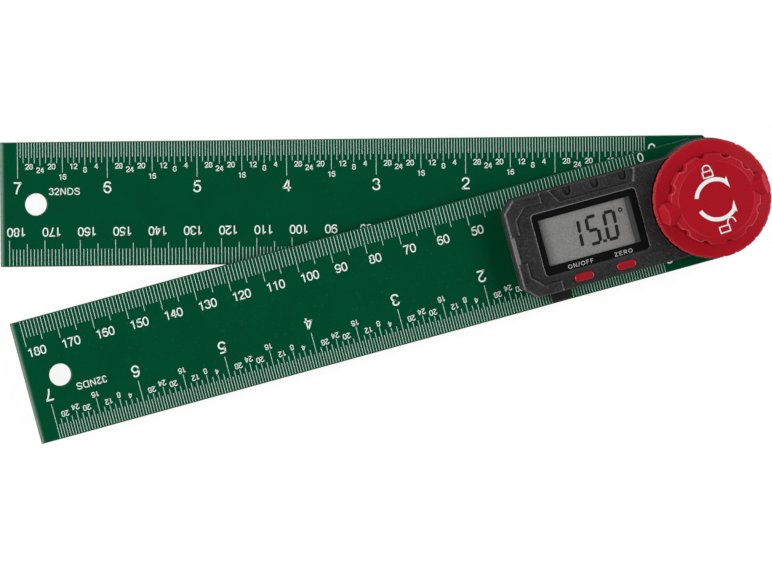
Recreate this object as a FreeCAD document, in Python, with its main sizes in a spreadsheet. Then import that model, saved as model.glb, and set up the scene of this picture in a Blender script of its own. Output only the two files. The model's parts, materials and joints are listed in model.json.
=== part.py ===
import FreeCAD, Part
import math
import os
import re

import Sketcher

# Digital angle finder: two 200 mm rules on one pivot, an electronics housing on the upper rule
# and a lock knob on the pivot.
# Millimetres. The origin is on the pivot axis, at the underside of the lower rule. +Z is up.
# The upper rule runs along -X; the lower rule is turned from it by open_angle.

Vector = FreeCAD.Vector

os.makedirs("parts", exist_ok=True)
doc = FreeCAD.newDocument("AngleFinder")

# ---------------------------------------------------------------- driving dimensions

DIMENSIONS = {
    # rules
    "open_angle": 14.6,
    "arm_length": 200,
    "arm_width": 35,
    "arm_thickness": 2.5,
    "arm_end_radius": 16.7,
    "arm_corner_cut": 0.8,
    "arm_edge_chamfer": 0.25,
    "hang_hole_reach": 190,
    "hang_hole_diameter": 6.3,
    "upper_arm_base": 2.8,
    # heights of the layers above the table
    "floor_top": 6.2,
    "case_split": 8,
    "board_base": 10,
    "board_thickness": 0.8,
    "glass_base": 11.7,
    "ceiling": 12.8,
    "gasket_base": 13.05,
    "lens_base": 13.25,
    "case_top": 14,
    # housing outline
    "case_end": 58.1,
    "case_half_width": 14.35,
    "case_round_radius": 16.9,
    "case_corner_cut": 3.3,
    "case_wall": 1.3,
    "top_inset": 0.15,
    "tray_slot_gap": 0.3,
    "hub_hole_gap": 0.3,
    # corner brackets on the deck
    "bracket_height": 0.6,
    "bracket_inner_edge": 11.2,
    "bracket_inner_end": 55.1,
    "bracket_inner_diagonal": 3,
    "bracket_reach": 46.9,
    "bracket_gap": 4,
    "bracket_chamfer": 0.4,
    "deck_bevel_width": 1.1,
    "deck_bevel_depth": 0.45,
    # shadow gap in the deck round the knob
    "knob_groove_inner": 16.1,
    "knob_groove_outer": 17.2,
    "knob_groove_depth": 0.4,
    # grip recess along the deck's upper edge
    "recess_inner_edge": 10.4,
    "recess_left": 42.2,
    "recess_right": 19.9,
    "recess_slant": 2.8,
    "recess_end_wall": 0.6,
    "recess_inner_depth": 0.5,
    "recess_outer_depth": 1.2,
    "recess_rib_base": 11.2,
    "recess_rib_edge": 9.4,
    "recess_rib_margin": 0.5,
    "scallop_width": 2.3,
    "scallop_inner_edge": 11.5,
    "scallop_first": 39,
    "scallop_pitch": 8.15,
    "scallop_base": 12.45,
    "scallop_count": 3,
    # display
    "display_centre": 35.6,
    "display_offset": -0.2,
    "lens_length": 31.2,
    "lens_width": 18.4,
    "lens_corner_radius": 1.3,
    "lens_gap": 0.1,
    "lens_bevel": 0.18,
    "lens_sunk": 0.05,
    "gasket_margin": 0.2,
    "window_centre": 35.7,
    "window_offset": 0.05,
    "window_length": 26.8,
    "window_width": 13.3,
    "opening_margin": 0.4,
    "glass_length": 29,
    "glass_width": 16,
    "glass_thickness": 0.85,
    "film_thickness": 0.15,
    "film_left": 49.9,
    "film_right": 23.9,
    "film_width": 15,
    "frame_wall": 0.7,
    "frame_gap": 0.1,
    "zebra_length": 27,
    "zebra_width": 1.6,
    "zebra_offset": 7,
    # buttons and switches
    "button_length": 5.7,
    "button_width": 2.2,
    "button_row": -11.8,
    "on_off_position": 40.5,
    "zero_position": 28.1,
    "button_gap": 0.1,
    "button_top": 14.65,
    "button_foot": 11.85,
    "button_flange_base": 12.2,
    "button_flange_top": 12.75,
    "button_flange_margin": 0.7,
    "button_flange_shift": 0.35,
    "button_stem_radius": 0.8,
    "button_stem_shift": 0.15,
    "button_edge_radius": 0.45,
    "switch_height": 0.5,
    "switch_length": 4.5,
    "switch_width": 1.8,
    "switch_plunger_radius": 0.6,
    # housing screws
    "left_boss_position": 55,
    "left_boss_offset": 9,
    "right_boss_position": 17.5,
    "right_boss_offset": 10.7,
    "boss_radius": 1.6,
    "screw_radius": 0.95,
    "screw_gap": 0.1,
    "screw_head_radius": 1.85,
    "screw_head_height": 0.9,
    "screw_length": 7.6,
    "screw_recess": 0.05,
    "pilot_clearance": 0.6,
    "cross_width": 0.45,
    "cross_length": 2.2,
    "cross_depth": 0.6,
    # circuit board
    "board_end": 56.3,
    "board_half_width": 12.7,
    "board_round_radius": 15,
    "board_hub_hole_radius": 5.8,
    "board_boss_gap": 0.25,
    "blob_radius": 9,
    "blob_size": 10,
    "blob_height": 0.7,
    # battery tray and cell
    "tray_centre": 42,
    "tray_width": 22,
    "tray_back": 8.2,
    "tray_base": 6.35,
    "tray_thickness": 3.2,
    "tray_side_gap": 0.15,
    "tray_front_thickness": 1.3,
    "cell_radius": 10,
    "cell_height": 3.2,
    "cell_gap": 0.1,
    "cell_lid_radius": 8.7,
    "cell_lid_height": 0.25,
    "lip_left": 50.4,
    "lip_right": 44.9,
    "lip_reach": 16.9,
    "lip_base": 6.9,
    "lip_thickness": 2.2,
    "lip_root": 0.5,
    "lip_rib_width": 0.35,
    "lip_rib_height": 0.25,
    "lip_rib_count": 4,
    # battery contacts
    "leaf_thickness": 0.15,
    "leaf_gap": 0.08,
    "leaf_length": 10,
    "leaf_width": 3.2,
    "leaf_pad_length": 3,
    "strip_thickness": 0.1,
    "strip_reach": 4,
    "strip_near": 1.5,
    "strip_far": 4.5,
    "post_thickness": 0.3,
    "post_gap": 0.6,
    # pivot
    "head_radius": 7,
    "head_thickness": 1.2,
    "square_side": 6,
    "square_top": 11.2,
    "thread_radius": 3,
    "stud_top": 21.5,
    "bush_radius": 8,
    "bush_flange_radius": 9.5,
    "bush_flange_height": 0.8,
    "journal_radius": 6,
    "journal_clearance": 0.05,
    "hub_collar_radius": 8.5,
    "hub_collar_base": 6.2,
    "hub_collar_height": 1,
    "hub_neck_radius": 5.5,
    "rotor_base": 8.9,
    "rotor_thickness": 0.8,
    "rotor_radius": 13.5,
    "hub_top_radius": 5,
    "friction_washer_thickness": 0.25,
    "friction_washer_radius": 14,
    "ring_groove_depth": 0.4,
    "ring_groove_play": 0.05,
    "ring_thickness": 0.6,
    "ring_radius": 4.4,
    "ring_opening": 3.6,
    "thrust_washer_base": 14.05,
    "thrust_washer_thickness": 0.6,
    "thrust_washer_radius": 11.6,
    "thrust_key_flat": 2.6,
    "thrust_key_play": 0.05,
    "thrust_key_foot": 0.6,
    # knob
    "knob_base": 14.7,
    "knob_turned": 3,
    "flange_radius": 16.85,
    "flange_foot_bevel": 0.6,
    "flange_edge_top": 16.3,
    "flange_shoulder_radius": 16.35,
    "flange_shoulder_height": 16.85,
    "hub_foot_radius": 12.85,
    "hub_foot_height": 18,
    "hub_shoulder_radius": 12.75,
    "hub_shoulder_height": 24,
    "hub_disc_radius": 10.7,
    "knob_top": 25.5,
    "knob_cavity_outer": 10.2,
    "knob_cavity_inner": 6.8,
    "knob_cavity_top": 22.4,
    "insert_radius": 5,
    "insert_base": 14.9,
    "insert_height": 8,
    "insert_bore_radius": 3.1,
    "insert_room_top": 23,
    "flute_radius": 1.5,
    "flute_centre": 13.4,
    "flute_count": 12,
    "notch_radius": 0.6,
    "notch_depth": 0.2,
    "notch_count": 30,
    "lug_base": 16,
    "lug_reach": 15.7,
    "lug_corner_cut": 1.25,
    "lug_half_width": 3.2,
    "lug_shoulder_height": 23.7,
    "lug_facet_foot": 20.3,
    "lug_ridge_reach": 14.1,
    "lug_ridge_half_width": 0.9,
    # play that keeps cutters clear of the faces they cut through
    "cutter_margin": 1,
    "weld": 0.1,
}

sheet = doc.addObject("Spreadsheet::Sheet", "Dims")
for row, (alias, value) in enumerate(DIMENSIONS.items(), start=1):
    sheet.set(f"A{row}", alias)
    sheet.set(f"B{row}", str(value))
    sheet.setAlias(f"B{row}", alias)
doc.recompute()

# Heights and radii that differ by less than this count as the same.
SAME = 0.01
ALIAS = re.compile(r"\b(" + "|".join(DIMENSIONS) + r")\b")

# ---------------------------------------------------------------- helpers


def linked(formula):
    """The formula as other objects read it, with each alias looked up in the sheet."""
    return ALIAS.sub(r"Dims.\1", formula)


def number(formula):
    """The formula's value now."""
    result = sheet.evalExpression(formula)
    return float(getattr(result, "Value", result))


def bind(thing, **formulas):
    """Sets properties of an object from formulas, and keeps them tied to the sheet."""
    for name, formula in formulas.items():
        thing.setExpression(name.replace("__", "."), linked(formula))


def locate(thing, x="0", y="0", z="0"):
    """Puts an object at x, y, z, tied to the sheet."""
    bind(thing, Placement__Base__x=x, Placement__Base__y=y, Placement__Base__z=z)


def turn_with_lower_arm(thing):
    """Turns a sub-part about the pivot by the angle between the rules."""
    bind(thing, Placement__Rotation__Yaw="-open_angle")


def new_body(label):
    body = doc.addObject("PartDesign::Body", label)
    body.Label = label
    return body


def new_sketch(body, name, height="0", plane="XY_Plane"):
    """An empty sketch on one of the body's origin planes, raised by height along its normal."""
    sketch = body.newObject("Sketcher::SketchObject", name)
    base = next(feature for feature in body.Origin.OriginFeatures if feature.Role == plane)
    sketch.AttachmentSupport = [(base, "")]
    sketch.MapMode = "FlatFace"
    bind(sketch, AttachmentOffset__Base__z=height)
    return sketch


def constrain(sketch, kind, geometry, formula):
    index = sketch.addConstraint(Sketcher.Constraint(kind, *geometry, number(formula)))
    sketch.setExpression(f"Constraints[{index}]", linked(formula))


def circle(sketch, x, y, radius):
    """A circle with its centre and radius tied to the sheet."""
    centre = Vector(number(x), number(y), 0)
    index = sketch.addGeometry(Part.Circle(centre, Vector(0, 0, 1), number(radius)))
    constrain(sketch, "DistanceX", (-1, 1, index, 3), x)
    constrain(sketch, "DistanceY", (-1, 1, index, 3), y)
    constrain(sketch, "Radius", (index,), radius)


def outline(sketch, corners):
    """A closed loop through corners (x, y). A corner (x, y, centre, way) starts an arc about
    centre, "ccw" or "cw", to the next corner."""
    points = [Vector(number(corner[0]), number(corner[1]), 0) for corner in corners]
    following = points[1:] + points[:1]
    edges = []
    for corner, start, end in zip(corners, points, following):
        if len(corner) == 2:
            edges.append((sketch.addGeometry(Part.LineSegment(start, end)), 1, 2))
            continue
        centre = Vector(number(corner[2][0]), number(corner[2][1]), 0)
        forward = corner[3] == "ccw"
        first, last = (start, end) if forward else (end, start)
        from_angle = math.atan2(first.y - centre.y, first.x - centre.x)
        to_angle = math.atan2(last.y - centre.y, last.x - centre.x)
        if to_angle <= from_angle:
            to_angle += 2 * math.pi
        full = Part.Circle(centre, Vector(0, 0, 1), (first - centre).Length)
        index = sketch.addGeometry(Part.ArcOfCircle(full, from_angle, to_angle))
        edges.append((index, 1, 2) if forward else (index, 2, 1))
    for (index, _, end), (next_index, next_start, _) in zip(edges, edges[1:] + edges[:1]):
        sketch.addConstraint(Sketcher.Constraint("Coincident", index, end, next_index, next_start))
    for corner, (index, start, _), here, there in zip(corners, edges, points, following):
        constrain(sketch, "DistanceX", (-1, 1, index, start), corner[0])
        constrain(sketch, "DistanceY", (-1, 1, index, start), corner[1])
        if len(corner) > 2:
            upright = abs(there.x - here.x) < abs(there.y - here.y)
            kind, value = ("DistanceX", corner[2][0]) if upright else ("DistanceY", corner[2][1])
            constrain(sketch, kind, (-1, 1, index, 3), value)


def rectangle(sketch, left, right, low, high):
    outline(sketch, [(left, low), (right, low), (right, high), (left, high)])


def pill(sketch, x, y, length, width):
    """A bar with half-round ends, centred at x, y and lying along X."""
    reach = f"(({length}) - ({width})) / 2"
    half = f"({width}) / 2"
    left, right = f"{x} - {reach}", f"{x} + {reach}"
    outline(sketch, [
        (left, f"{y} - {half}"),
        (right, f"{y} - {half}", (right, y), "ccw"),
        (right, f"{y} + {half}"),
        (left, f"{y} + {half}", (left, y), "ccw"),
    ])


def pad(body, name, sketch, length, down=False):
    """Adds material above the sketch, or below it."""
    feature = body.newObject("PartDesign::Pad", name)
    feature.Profile = sketch
    feature.Reversed = down
    bind(feature, Length=length)
    doc.recompute()
    return feature


def pocket(body, name, sketch, depth, up=False):
    """Removes material below the sketch, or above it, and makes sure that something went."""
    before = body.Shape.Volume
    feature = body.newObject("PartDesign::Pocket", name)
    feature.Profile = sketch
    feature.Reversed = up
    bind(feature, Length=depth)
    doc.recompute()
    if not body.Shape.Volume < before:
        raise RuntimeError(f"{body.Label}: {name} cuts nothing")
    return feature


def dress(body, kind, name, size, chosen):
    """A Chamfer or Fillet on the edges of the body's tip for which chosen(edge) holds."""
    tip = body.Tip
    edges = [f"Edge{index}" for index, edge in enumerate(tip.Shape.Edges, 1) if chosen(edge)]
    feature = body.newObject(f"PartDesign::{kind}", name)
    feature.Base = (tip, edges)
    bind(feature, **{"Radius" if kind == "Fillet" else "Size": size})
    doc.recompute()
    return feature


def level(edge, height):
    """True for an edge that lies flat at that height."""
    box = edge.BoundBox
    return box.ZLength < SAME and abs(box.ZMin - height) < SAME


def cylinder(name, radius, height, z, x="0", y="0"):
    solid = doc.addObject("Part::Cylinder", name)
    bind(solid, Radius=radius, Height=height)
    locate(solid, x, y, z)
    return solid


def block(name, left, right, low, high, base, top):
    """A box between these limits along X, Y and Z."""
    solid = doc.addObject("Part::Box", name)
    bind(solid, Length=f"({right}) - ({left})", Width=f"({high}) - ({low})", Height=f"({top}) - ({base})")
    locate(solid, left, low, base)
    return solid


def cut(label, base, tool):
    result = doc.addObject("Part::Cut", label)
    result.Label = label
    result.Base = base
    result.Tool = tool
    return result


def fuse(label, pieces):
    result = doc.addObject("Part::MultiFuse", label)
    result.Label = label
    result.Shapes = pieces
    return result


def group(label, pieces):
    """Separate solids that share one node."""
    result = doc.addObject("Part::Compound", label)
    result.Label = label
    result.Links = pieces
    return result


def ring(label, outer, inner, height, z):
    disc = cylinder(f"{label}_disc", outer, height, z)
    bore = cylinder(f"{label}_bore", inner, height, z)
    return cut(label, disc, bore)


BOSSES = [
    ("-left_boss_position", "left_boss_offset"),
    ("-left_boss_position", "-left_boss_offset"),
    ("-right_boss_position", "right_boss_offset"),
    ("-right_boss_position", "-right_boss_offset"),
]
BUTTONS = {"on_off_button": "-on_off_position", "zero_button": "-zero_position"}
PARTS = []

# ---------------------------------------------------------------- rules


def arm(label, base):
    """A rule from its free end to the half-round end about the pivot, with its hanging hole."""
    half = "arm_width / 2"
    body = new_body(label)
    sketch = new_sketch(body, f"{label}_outline", base)
    outline(sketch, [
        ("-arm_length", half),
        ("-arm_length", f"-{half}"),
        ("-arm_corner_cut", f"-{half}"),
        ("0", "-arm_end_radius", ("0", "0"), "ccw"),
        ("0", "arm_end_radius"),
        ("-arm_corner_cut", half),
    ])
    pad(body, f"{label}_plate", sketch, "arm_thickness")
    hole = new_sketch(body, f"{label}_hang_circle", base)
    circle(hole, "-hang_hole_reach", "0", "hang_hole_diameter / 2")
    pocket(body, f"{label}_hang_hole", hole, "arm_thickness", up=True)
    return body


def break_arm_edges(body, base):
    """Takes the sharpness off the rule's long edges, top and bottom, without touching its holes."""
    low = number(base)
    high = low + number("arm_thickness")
    dress(body, "Chamfer", f"{body.Label}_broken_edges", "arm_edge_chamfer",
          lambda edge: (level(edge, low) or level(edge, high)) and edge.Length > number("arm_end_radius"))


upper_arm = arm("upper_arm", "upper_arm_base")
break_arm_edges(upper_arm, "upper_arm_base")
bush_seat = new_sketch(upper_arm, "bush_seat_circle", "upper_arm_base")
circle(bush_seat, "0", "0", "bush_radius")
pocket(upper_arm, "bush_seat", bush_seat, "arm_thickness", up=True)
screw_holes = new_sketch(upper_arm, "screw_circles", "upper_arm_base")
for x, y in BOSSES:
    circle(screw_holes, x, y, "screw_radius + screw_gap")
pocket(upper_arm, "screw_holes", screw_holes, "arm_thickness", up=True)
dress(upper_arm, "Chamfer", "countersinks", "screw_head_height", lambda edge: (
    level(edge, number("upper_arm_base"))
    and edge.Curve.TypeId == "Part::GeomCircle"
    and abs(edge.Curve.Radius - number("screw_radius + screw_gap")) < SAME))
PARTS.append(upper_arm)

lower_arm = arm("lower_arm", "0")
break_arm_edges(lower_arm, "0")
head_seat = new_sketch(lower_arm, "head_seat_circle")
circle(head_seat, "0", "0", "head_radius + screw_gap")
pocket(lower_arm, "head_seat", head_seat, "head_thickness", up=True)
square_hole = new_sketch(lower_arm, "square_hole_outline")
rectangle(square_hole, "-square_side / 2 - screw_gap", "square_side / 2 + screw_gap",
          "-square_side / 2 - screw_gap", "square_side / 2 + screw_gap")
pocket(lower_arm, "square_hole", square_hole, "arm_thickness", up=True)
turn_with_lower_arm(lower_arm)
PARTS.append(lower_arm)

# ---------------------------------------------------------------- pivot

arm_bush = cut(
    "arm_bush",
    fuse("arm_bush_blank", [
        cylinder("bush_sleeve", "bush_radius", "arm_thickness + bush_flange_height", "upper_arm_base"),
        cylinder("bush_flange", "bush_flange_radius", "bush_flange_height", "upper_arm_base + arm_thickness"),
    ]),
    cylinder("bush_bore", "journal_radius + journal_clearance", "arm_thickness + bush_flange_height",
             "upper_arm_base"),
)
PARTS.append(arm_bush)

stud_square = block("stud_square", "-square_side / 2", "square_side / 2", "-square_side / 2",
                    "square_side / 2", "head_thickness", "square_top")
stud_blank = fuse("pivot_stud_blank", [
    cylinder("stud_head", "head_radius", "head_thickness", "0"),
    stud_square,
    cylinder("stud_thread", "thread_radius", "stud_top - square_top", "square_top"),
])
key_flat = block("stud_key_flat", "thrust_key_flat", "thread_radius + cutter_margin",
                 "-thread_radius - cutter_margin", "thread_radius + cutter_margin",
                 "thrust_washer_base - thrust_key_foot", "stud_top")
ring_groove = ring("stud_ring_groove", "thread_radius + cutter_margin", "thread_radius - ring_groove_depth",
                   "ring_thickness + ring_groove_play", "square_top")
pivot_stud = cut("pivot_stud", stud_blank, fuse("stud_cuts", [key_flat, ring_groove]))
turn_with_lower_arm(pivot_stud)
PARTS.append(pivot_stud)

hub_blank = fuse("rotor_hub_blank", [
    cylinder("hub_journal", "journal_radius", "hub_collar_base - arm_thickness", "arm_thickness"),
    cylinder("hub_collar", "hub_collar_radius", "hub_collar_height", "hub_collar_base"),
    cylinder("hub_neck", "hub_neck_radius", "rotor_base - hub_collar_base", "hub_collar_base"),
    cylinder("hub_tip", "hub_top_radius", "square_top - rotor_base", "rotor_base"),
])
hub_square = block("hub_square", "-square_side / 2", "square_side / 2", "-square_side / 2",
                   "square_side / 2", "arm_thickness", "square_top")
rotor_hub = cut("rotor_hub", hub_blank, hub_square)
turn_with_lower_arm(rotor_hub)
PARTS.append(rotor_hub)

encoder_rotor = ring("encoder_rotor", "rotor_radius", "hub_top_radius", "rotor_thickness", "rotor_base")
friction_washer = ring("friction_washer", "friction_washer_radius", "journal_radius + screw_gap",
                       "friction_washer_thickness", "arm_thickness")
ring_cuts = fuse("retaining_ring_cuts", [
    cylinder("ring_bore", "thread_radius - ring_groove_depth", "ring_thickness", "square_top"),
    block("ring_mouth", "0", "ring_radius + cutter_margin", "-ring_opening / 2", "ring_opening / 2",
          "square_top", "square_top + ring_thickness"),
])
retaining_ring = cut("retaining_ring", cylinder("ring_disc", "ring_radius", "ring_thickness", "square_top"),
                     ring_cuts)
turn_with_lower_arm(retaining_ring)
PARTS += [encoder_rotor, friction_washer, retaining_ring]

# The key of the thrust washer lies on the flat of the stud, so it rises but does not turn.
thrust_hole = cut(
    "thrust_hole",
    cylinder("thrust_round", "thread_radius + screw_gap", "thrust_washer_thickness", "thrust_washer_base"),
    block("thrust_key", "thrust_key_flat + thrust_key_play", "thread_radius + cutter_margin",
          "-thread_radius", "thread_radius", "thrust_washer_base",
          "thrust_washer_base + thrust_washer_thickness"),
)
thrust_washer = cut(
    "thrust_washer",
    cylinder("thrust_disc", "thrust_washer_radius", "thrust_washer_thickness", "thrust_washer_base"),
    thrust_hole,
)
turn_with_lower_arm(thrust_washer)
PARTS.append(thrust_washer)

# ---------------------------------------------------------------- housing


def corner_cut(inset):
    """How far a cut corner of the case runs along each side, on a plan that is inset all round."""
    return f"(case_corner_cut - ({inset}) * (2 - sqrt(2)))"


def case_outline(sketch, inset):
    """The housing's plan: a cut-cornered left end and a round right end about the pivot."""
    end = f"-(case_end - ({inset}))"
    half = f"(case_half_width - ({inset}))"
    radius = f"(case_round_radius - ({inset}))"
    meet = f"-sqrt({radius}^2 - {half}^2)"
    corner = corner_cut(inset)
    outline(sketch, [
        (end, f"{half} - {corner}"),
        (end, f"-{half} + {corner}"),
        (f"{end} + {corner}", f"-{half}"),
        (meet, f"-{half}", ("0", "0"), "ccw"),
        (meet, half),
        (f"{end} + {corner}", half),
    ])


def tray_slot(body, name, base, depth):
    """The opening in the housing's front wall for the battery tray."""
    sketch = new_sketch(body, f"{name}_outline", base)
    rectangle(sketch, "-tray_centre - tray_width / 2 - tray_side_gap",
              "-tray_centre + tray_width / 2 + tray_side_gap", "-case_half_width - cutter_margin",
              "-case_half_width + case_wall + tray_slot_gap")
    pocket(body, name, sketch, depth, up=True)


housing_base = new_body("housing_base")
base_plan = new_sketch(housing_base, "base_plan", "upper_arm_base + arm_thickness")
case_outline(base_plan, "0")
pad(housing_base, "base_block", base_plan, "case_split - upper_arm_base - arm_thickness")
base_room = new_sketch(housing_base, "base_room_plan", "floor_top")
case_outline(base_room, "case_wall + top_inset")
pocket(housing_base, "base_room", base_room, "case_split - floor_top", up=True)
hub_hole = new_sketch(housing_base, "hub_hole_circle", "upper_arm_base + arm_thickness")
circle(hub_hole, "0", "0", "bush_flange_radius + hub_hole_gap")
for x, y in BOSSES:
    circle(hub_hole, x, y, "screw_radius + screw_gap")
pocket(housing_base, "floor_holes", hub_hole, "floor_top - upper_arm_base - arm_thickness", up=True)
tray_slot(housing_base, "base_tray_slot", "floor_top", "case_split - floor_top")
PARTS.append(housing_base)

housing_top = new_body("housing_top")
top_plan = new_sketch(housing_top, "top_plan", "case_split")
case_outline(top_plan, "top_inset")
pad(housing_top, "top_block", top_plan, "case_top - case_split")
top_room = new_sketch(housing_top, "top_room_plan", "case_split")
case_outline(top_room, "case_wall + top_inset")
pocket(housing_top, "top_room", top_room, "ceiling - case_split", up=True)

# Raised corner brackets: one L round each cut corner of the left end.
for side, name in ((1, "upper"), (-1, "lower")):
    end = "-(case_end - top_inset)"
    half = f"{side} * (case_half_width - top_inset)"
    corner = corner_cut("top_inset")
    bracket_plan = new_sketch(housing_top, f"{name}_bracket_plan", "case_top")
    loop = [
        (end, f"{side} * bracket_gap"),
        (end, f"{half} - {side} * {corner}"),
        (f"{end} + {corner}", half),
        ("-bracket_reach", half),
        ("-bracket_reach", f"{side} * bracket_inner_edge"),
        ("-bracket_inner_end + bracket_inner_diagonal", f"{side} * bracket_inner_edge"),
        ("-bracket_inner_end", f"{side} * (bracket_inner_edge - bracket_inner_diagonal)"),
        ("-bracket_inner_end", f"{side} * bracket_gap"),
    ]
    outline(bracket_plan, loop)
    pad(housing_top, f"{name}_bracket", bracket_plan, "bracket_height")
bracket_level = number("case_top + bracket_height")
dress(housing_top, "Chamfer", "bracket_bevel", "bracket_chamfer", lambda edge: level(edge, bracket_level))

# The deck's left edge is bevelled between the brackets.
bevel = new_sketch(housing_top, "deck_bevel_profile", "bracket_gap", "XZ_Plane")
bevel_rise = "cutter_margin * deck_bevel_depth / deck_bevel_width"
outline(bevel, [
    ("-(case_end - top_inset) - cutter_margin", f"case_top - deck_bevel_depth - {bevel_rise}"),
    ("-(case_end - top_inset) + deck_bevel_width + cutter_margin", f"case_top + {bevel_rise}"),
    ("-(case_end - top_inset) - cutter_margin", f"case_top + {bevel_rise}"),
])
pocket(housing_top, "deck_bevel", bevel, "2 * bracket_gap")

# A groove in the deck leaves a shadow gap round the knob's flange.
knob_groove = new_sketch(housing_top, "knob_groove_circles", "case_top")
circle(knob_groove, "0", "0", "knob_groove_outer")
circle(knob_groove, "0", "0", "knob_groove_inner")
pocket(housing_top, "knob_groove", knob_groove, "knob_groove_depth")

# Grip recess along the upper edge, over a rib that thickens the ceiling below it. Its floor falls
# towards the edge and its two ends slope.
rib = new_sketch(housing_top, "recess_rib_plan", "recess_rib_base")
rectangle(rib, "-recess_left - recess_slant - recess_rib_margin", "-recess_right + recess_rib_margin",
          "recess_rib_edge", "case_half_width - case_wall")
pad(housing_top, "recess_rib", rib, "ceiling - recess_rib_base + weld")
recess_fall = "(recess_outer_depth - recess_inner_depth) / (case_half_width - recess_inner_edge)"


def recess_section(name, away):
    """The recess's section across Y, that far out from its inner edge."""
    sketch = new_sketch(housing_top, name, f"-recess_inner_edge - ({away})", "XZ_Plane")
    widening = f"({away}) / (case_half_width + cutter_margin - recess_inner_edge)"
    left = f"-recess_left - recess_slant * {widening}"
    right = f"-recess_right + recess_slant / 2 * {widening}"
    depth = f"recess_inner_depth + {recess_fall} * ({away})"
    rise = "recess_end_wall * weld"
    outline(sketch, [
        (f"{left} + recess_end_wall", f"case_top - ({depth})"),
        (f"{right} - recess_end_wall", f"case_top - ({depth})"),
        (f"{right} + {rise}", f"case_top + weld * ({depth})"),
        (f"{left} - {rise}", f"case_top + weld * ({depth})"),
    ])
    return sketch


recess = housing_top.newObject("PartDesign::SubtractiveLoft", "grip_recess")
recess.Profile = recess_section("recess_inner_section", "0")
recess_run = "case_half_width + cutter_margin - recess_inner_edge"
recess.Sections = [recess_section("recess_outer_section", recess_run)]
recess.Ruled = True
doc.recompute()
scallops = new_sketch(housing_top, "scallop_plan", "case_top")
for index in range(int(number("scallop_count"))):
    centre = f"-scallop_first + {index} * scallop_pitch"
    half = "scallop_width / 2"
    round_start = f"scallop_inner_edge + {half}"
    outline(scallops, [
        (f"{centre} - {half}", "case_half_width + cutter_margin"),
        (f"{centre} - {half}", round_start, (centre, round_start), "ccw"),
        (f"{centre} + {half}", round_start),
        (f"{centre} + {half}", "case_half_width + cutter_margin"),
    ])
pocket(housing_top, "scallops", scallops, "case_top - scallop_base")

# Bosses for the housing screws, from the floor to the ceiling.
boss_plan = new_sketch(housing_top, "boss_plan", "floor_top")
for x, y in BOSSES:
    circle(boss_plan, x, y, "boss_radius")
pad(housing_top, "bosses", boss_plan, "ceiling - floor_top + weld")
pilot_plan = new_sketch(housing_top, "pilot_plan", "floor_top")
for x, y in BOSSES:
    circle(pilot_plan, x, y, "screw_radius + screw_gap / 2")
pilot_depth = "screw_length - floor_top + upper_arm_base + pilot_clearance"
pocket(housing_top, "pilot_holes", pilot_plan, pilot_depth, up=True)


def window_rectangle(sketch, length, width):
    rectangle(sketch, f"-window_centre - ({length}) / 2", f"-window_centre + ({length}) / 2",
              f"window_offset - ({width}) / 2", f"window_offset + ({width}) / 2")


def rounded_display_plate(body, name, base, length, width, radius, cutter=False, height="0"):
    """A plate, or a pocket going up, with the lens's rounded corners."""
    x0 = f"-display_centre - ({length}) / 2"
    x1 = f"-display_centre + ({length}) / 2"
    y0 = f"display_offset - ({width}) / 2"
    y1 = f"display_offset + ({width}) / 2"
    sketch = new_sketch(body, f"{name}_plan", base)
    outline(sketch, [
        (x0, f"{y1} - {radius}"),
        (x0, f"{y0} + {radius}", (f"{x0} + {radius}", f"{y0} + {radius}"), "ccw"),
        (f"{x0} + {radius}", y0),
        (f"{x1} - {radius}", y0, (f"{x1} - {radius}", f"{y0} + {radius}"), "ccw"),
        (x1, f"{y0} + {radius}"),
        (x1, f"{y1} - {radius}", (f"{x1} - {radius}", f"{y1} - {radius}"), "ccw"),
        (f"{x1} - {radius}", y1),
        (f"{x0} + {radius}", y1, (f"{x0} + {radius}", f"{y1} - {radius}"), "ccw"),
    ])
    if cutter:
        return pocket(body, name, sketch, height, up=True)
    return pad(body, name, sketch, height)


rounded_display_plate(housing_top, "lens_seat", "gasket_base", "lens_length", "lens_width",
                      "lens_corner_radius", cutter=True, height="case_top - gasket_base + cutter_margin")
opening = new_sketch(housing_top, "display_opening_plan", "ceiling")
window_rectangle(opening, "window_length + 2 * opening_margin", "window_width + 2 * opening_margin")
pocket(housing_top, "display_opening", opening, "gasket_base - ceiling", up=True)
button_holes = new_sketch(housing_top, "button_hole_plan", "ceiling")
for x in BUTTONS.values():
    pill(button_holes, x, "button_row", "button_length + 2 * button_gap", "button_width + 2 * button_gap")
pocket(housing_top, "button_holes", button_holes, "case_top - ceiling", up=True)
stud_hole = new_sketch(housing_top, "stud_hole_circle", "ceiling")
circle(stud_hole, "0", "0", "ring_radius")
pocket(housing_top, "stud_hole", stud_hole, "case_top - ceiling", up=True)
top_slot_depth = "tray_base + tray_thickness + tray_side_gap - case_split"
tray_slot(housing_top, "top_tray_slot", "case_split", top_slot_depth)
PARTS.append(housing_top)

# ---------------------------------------------------------------- display

display_lens = new_body("display_lens")
rounded_display_plate(display_lens, "lens_plate", "lens_base", "lens_length - 2 * lens_gap",
                      "lens_width - 2 * lens_gap", "(lens_corner_radius - lens_gap)",
                      height="case_top - lens_sunk - lens_base")
lens_face = number("case_top - lens_sunk")
dress(display_lens, "Chamfer", "lens_edge_bevel", "lens_bevel", lambda edge: level(edge, lens_face))
PARTS.append(display_lens)

lens_gasket = new_body("lens_gasket")
rounded_display_plate(lens_gasket, "gasket_plate", "gasket_base", "lens_length - 2 * gasket_margin",
                      "lens_width - 2 * gasket_margin", "(lens_corner_radius - gasket_margin)",
                      height="lens_base - lens_sunk - gasket_base")
gasket_window = new_sketch(lens_gasket, "gasket_window_plan", "gasket_base")
window_rectangle(gasket_window, "window_length", "window_width")
pocket(lens_gasket, "gasket_window", gasket_window, "lens_base - gasket_base", up=True)
PARTS.append(lens_gasket)


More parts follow.
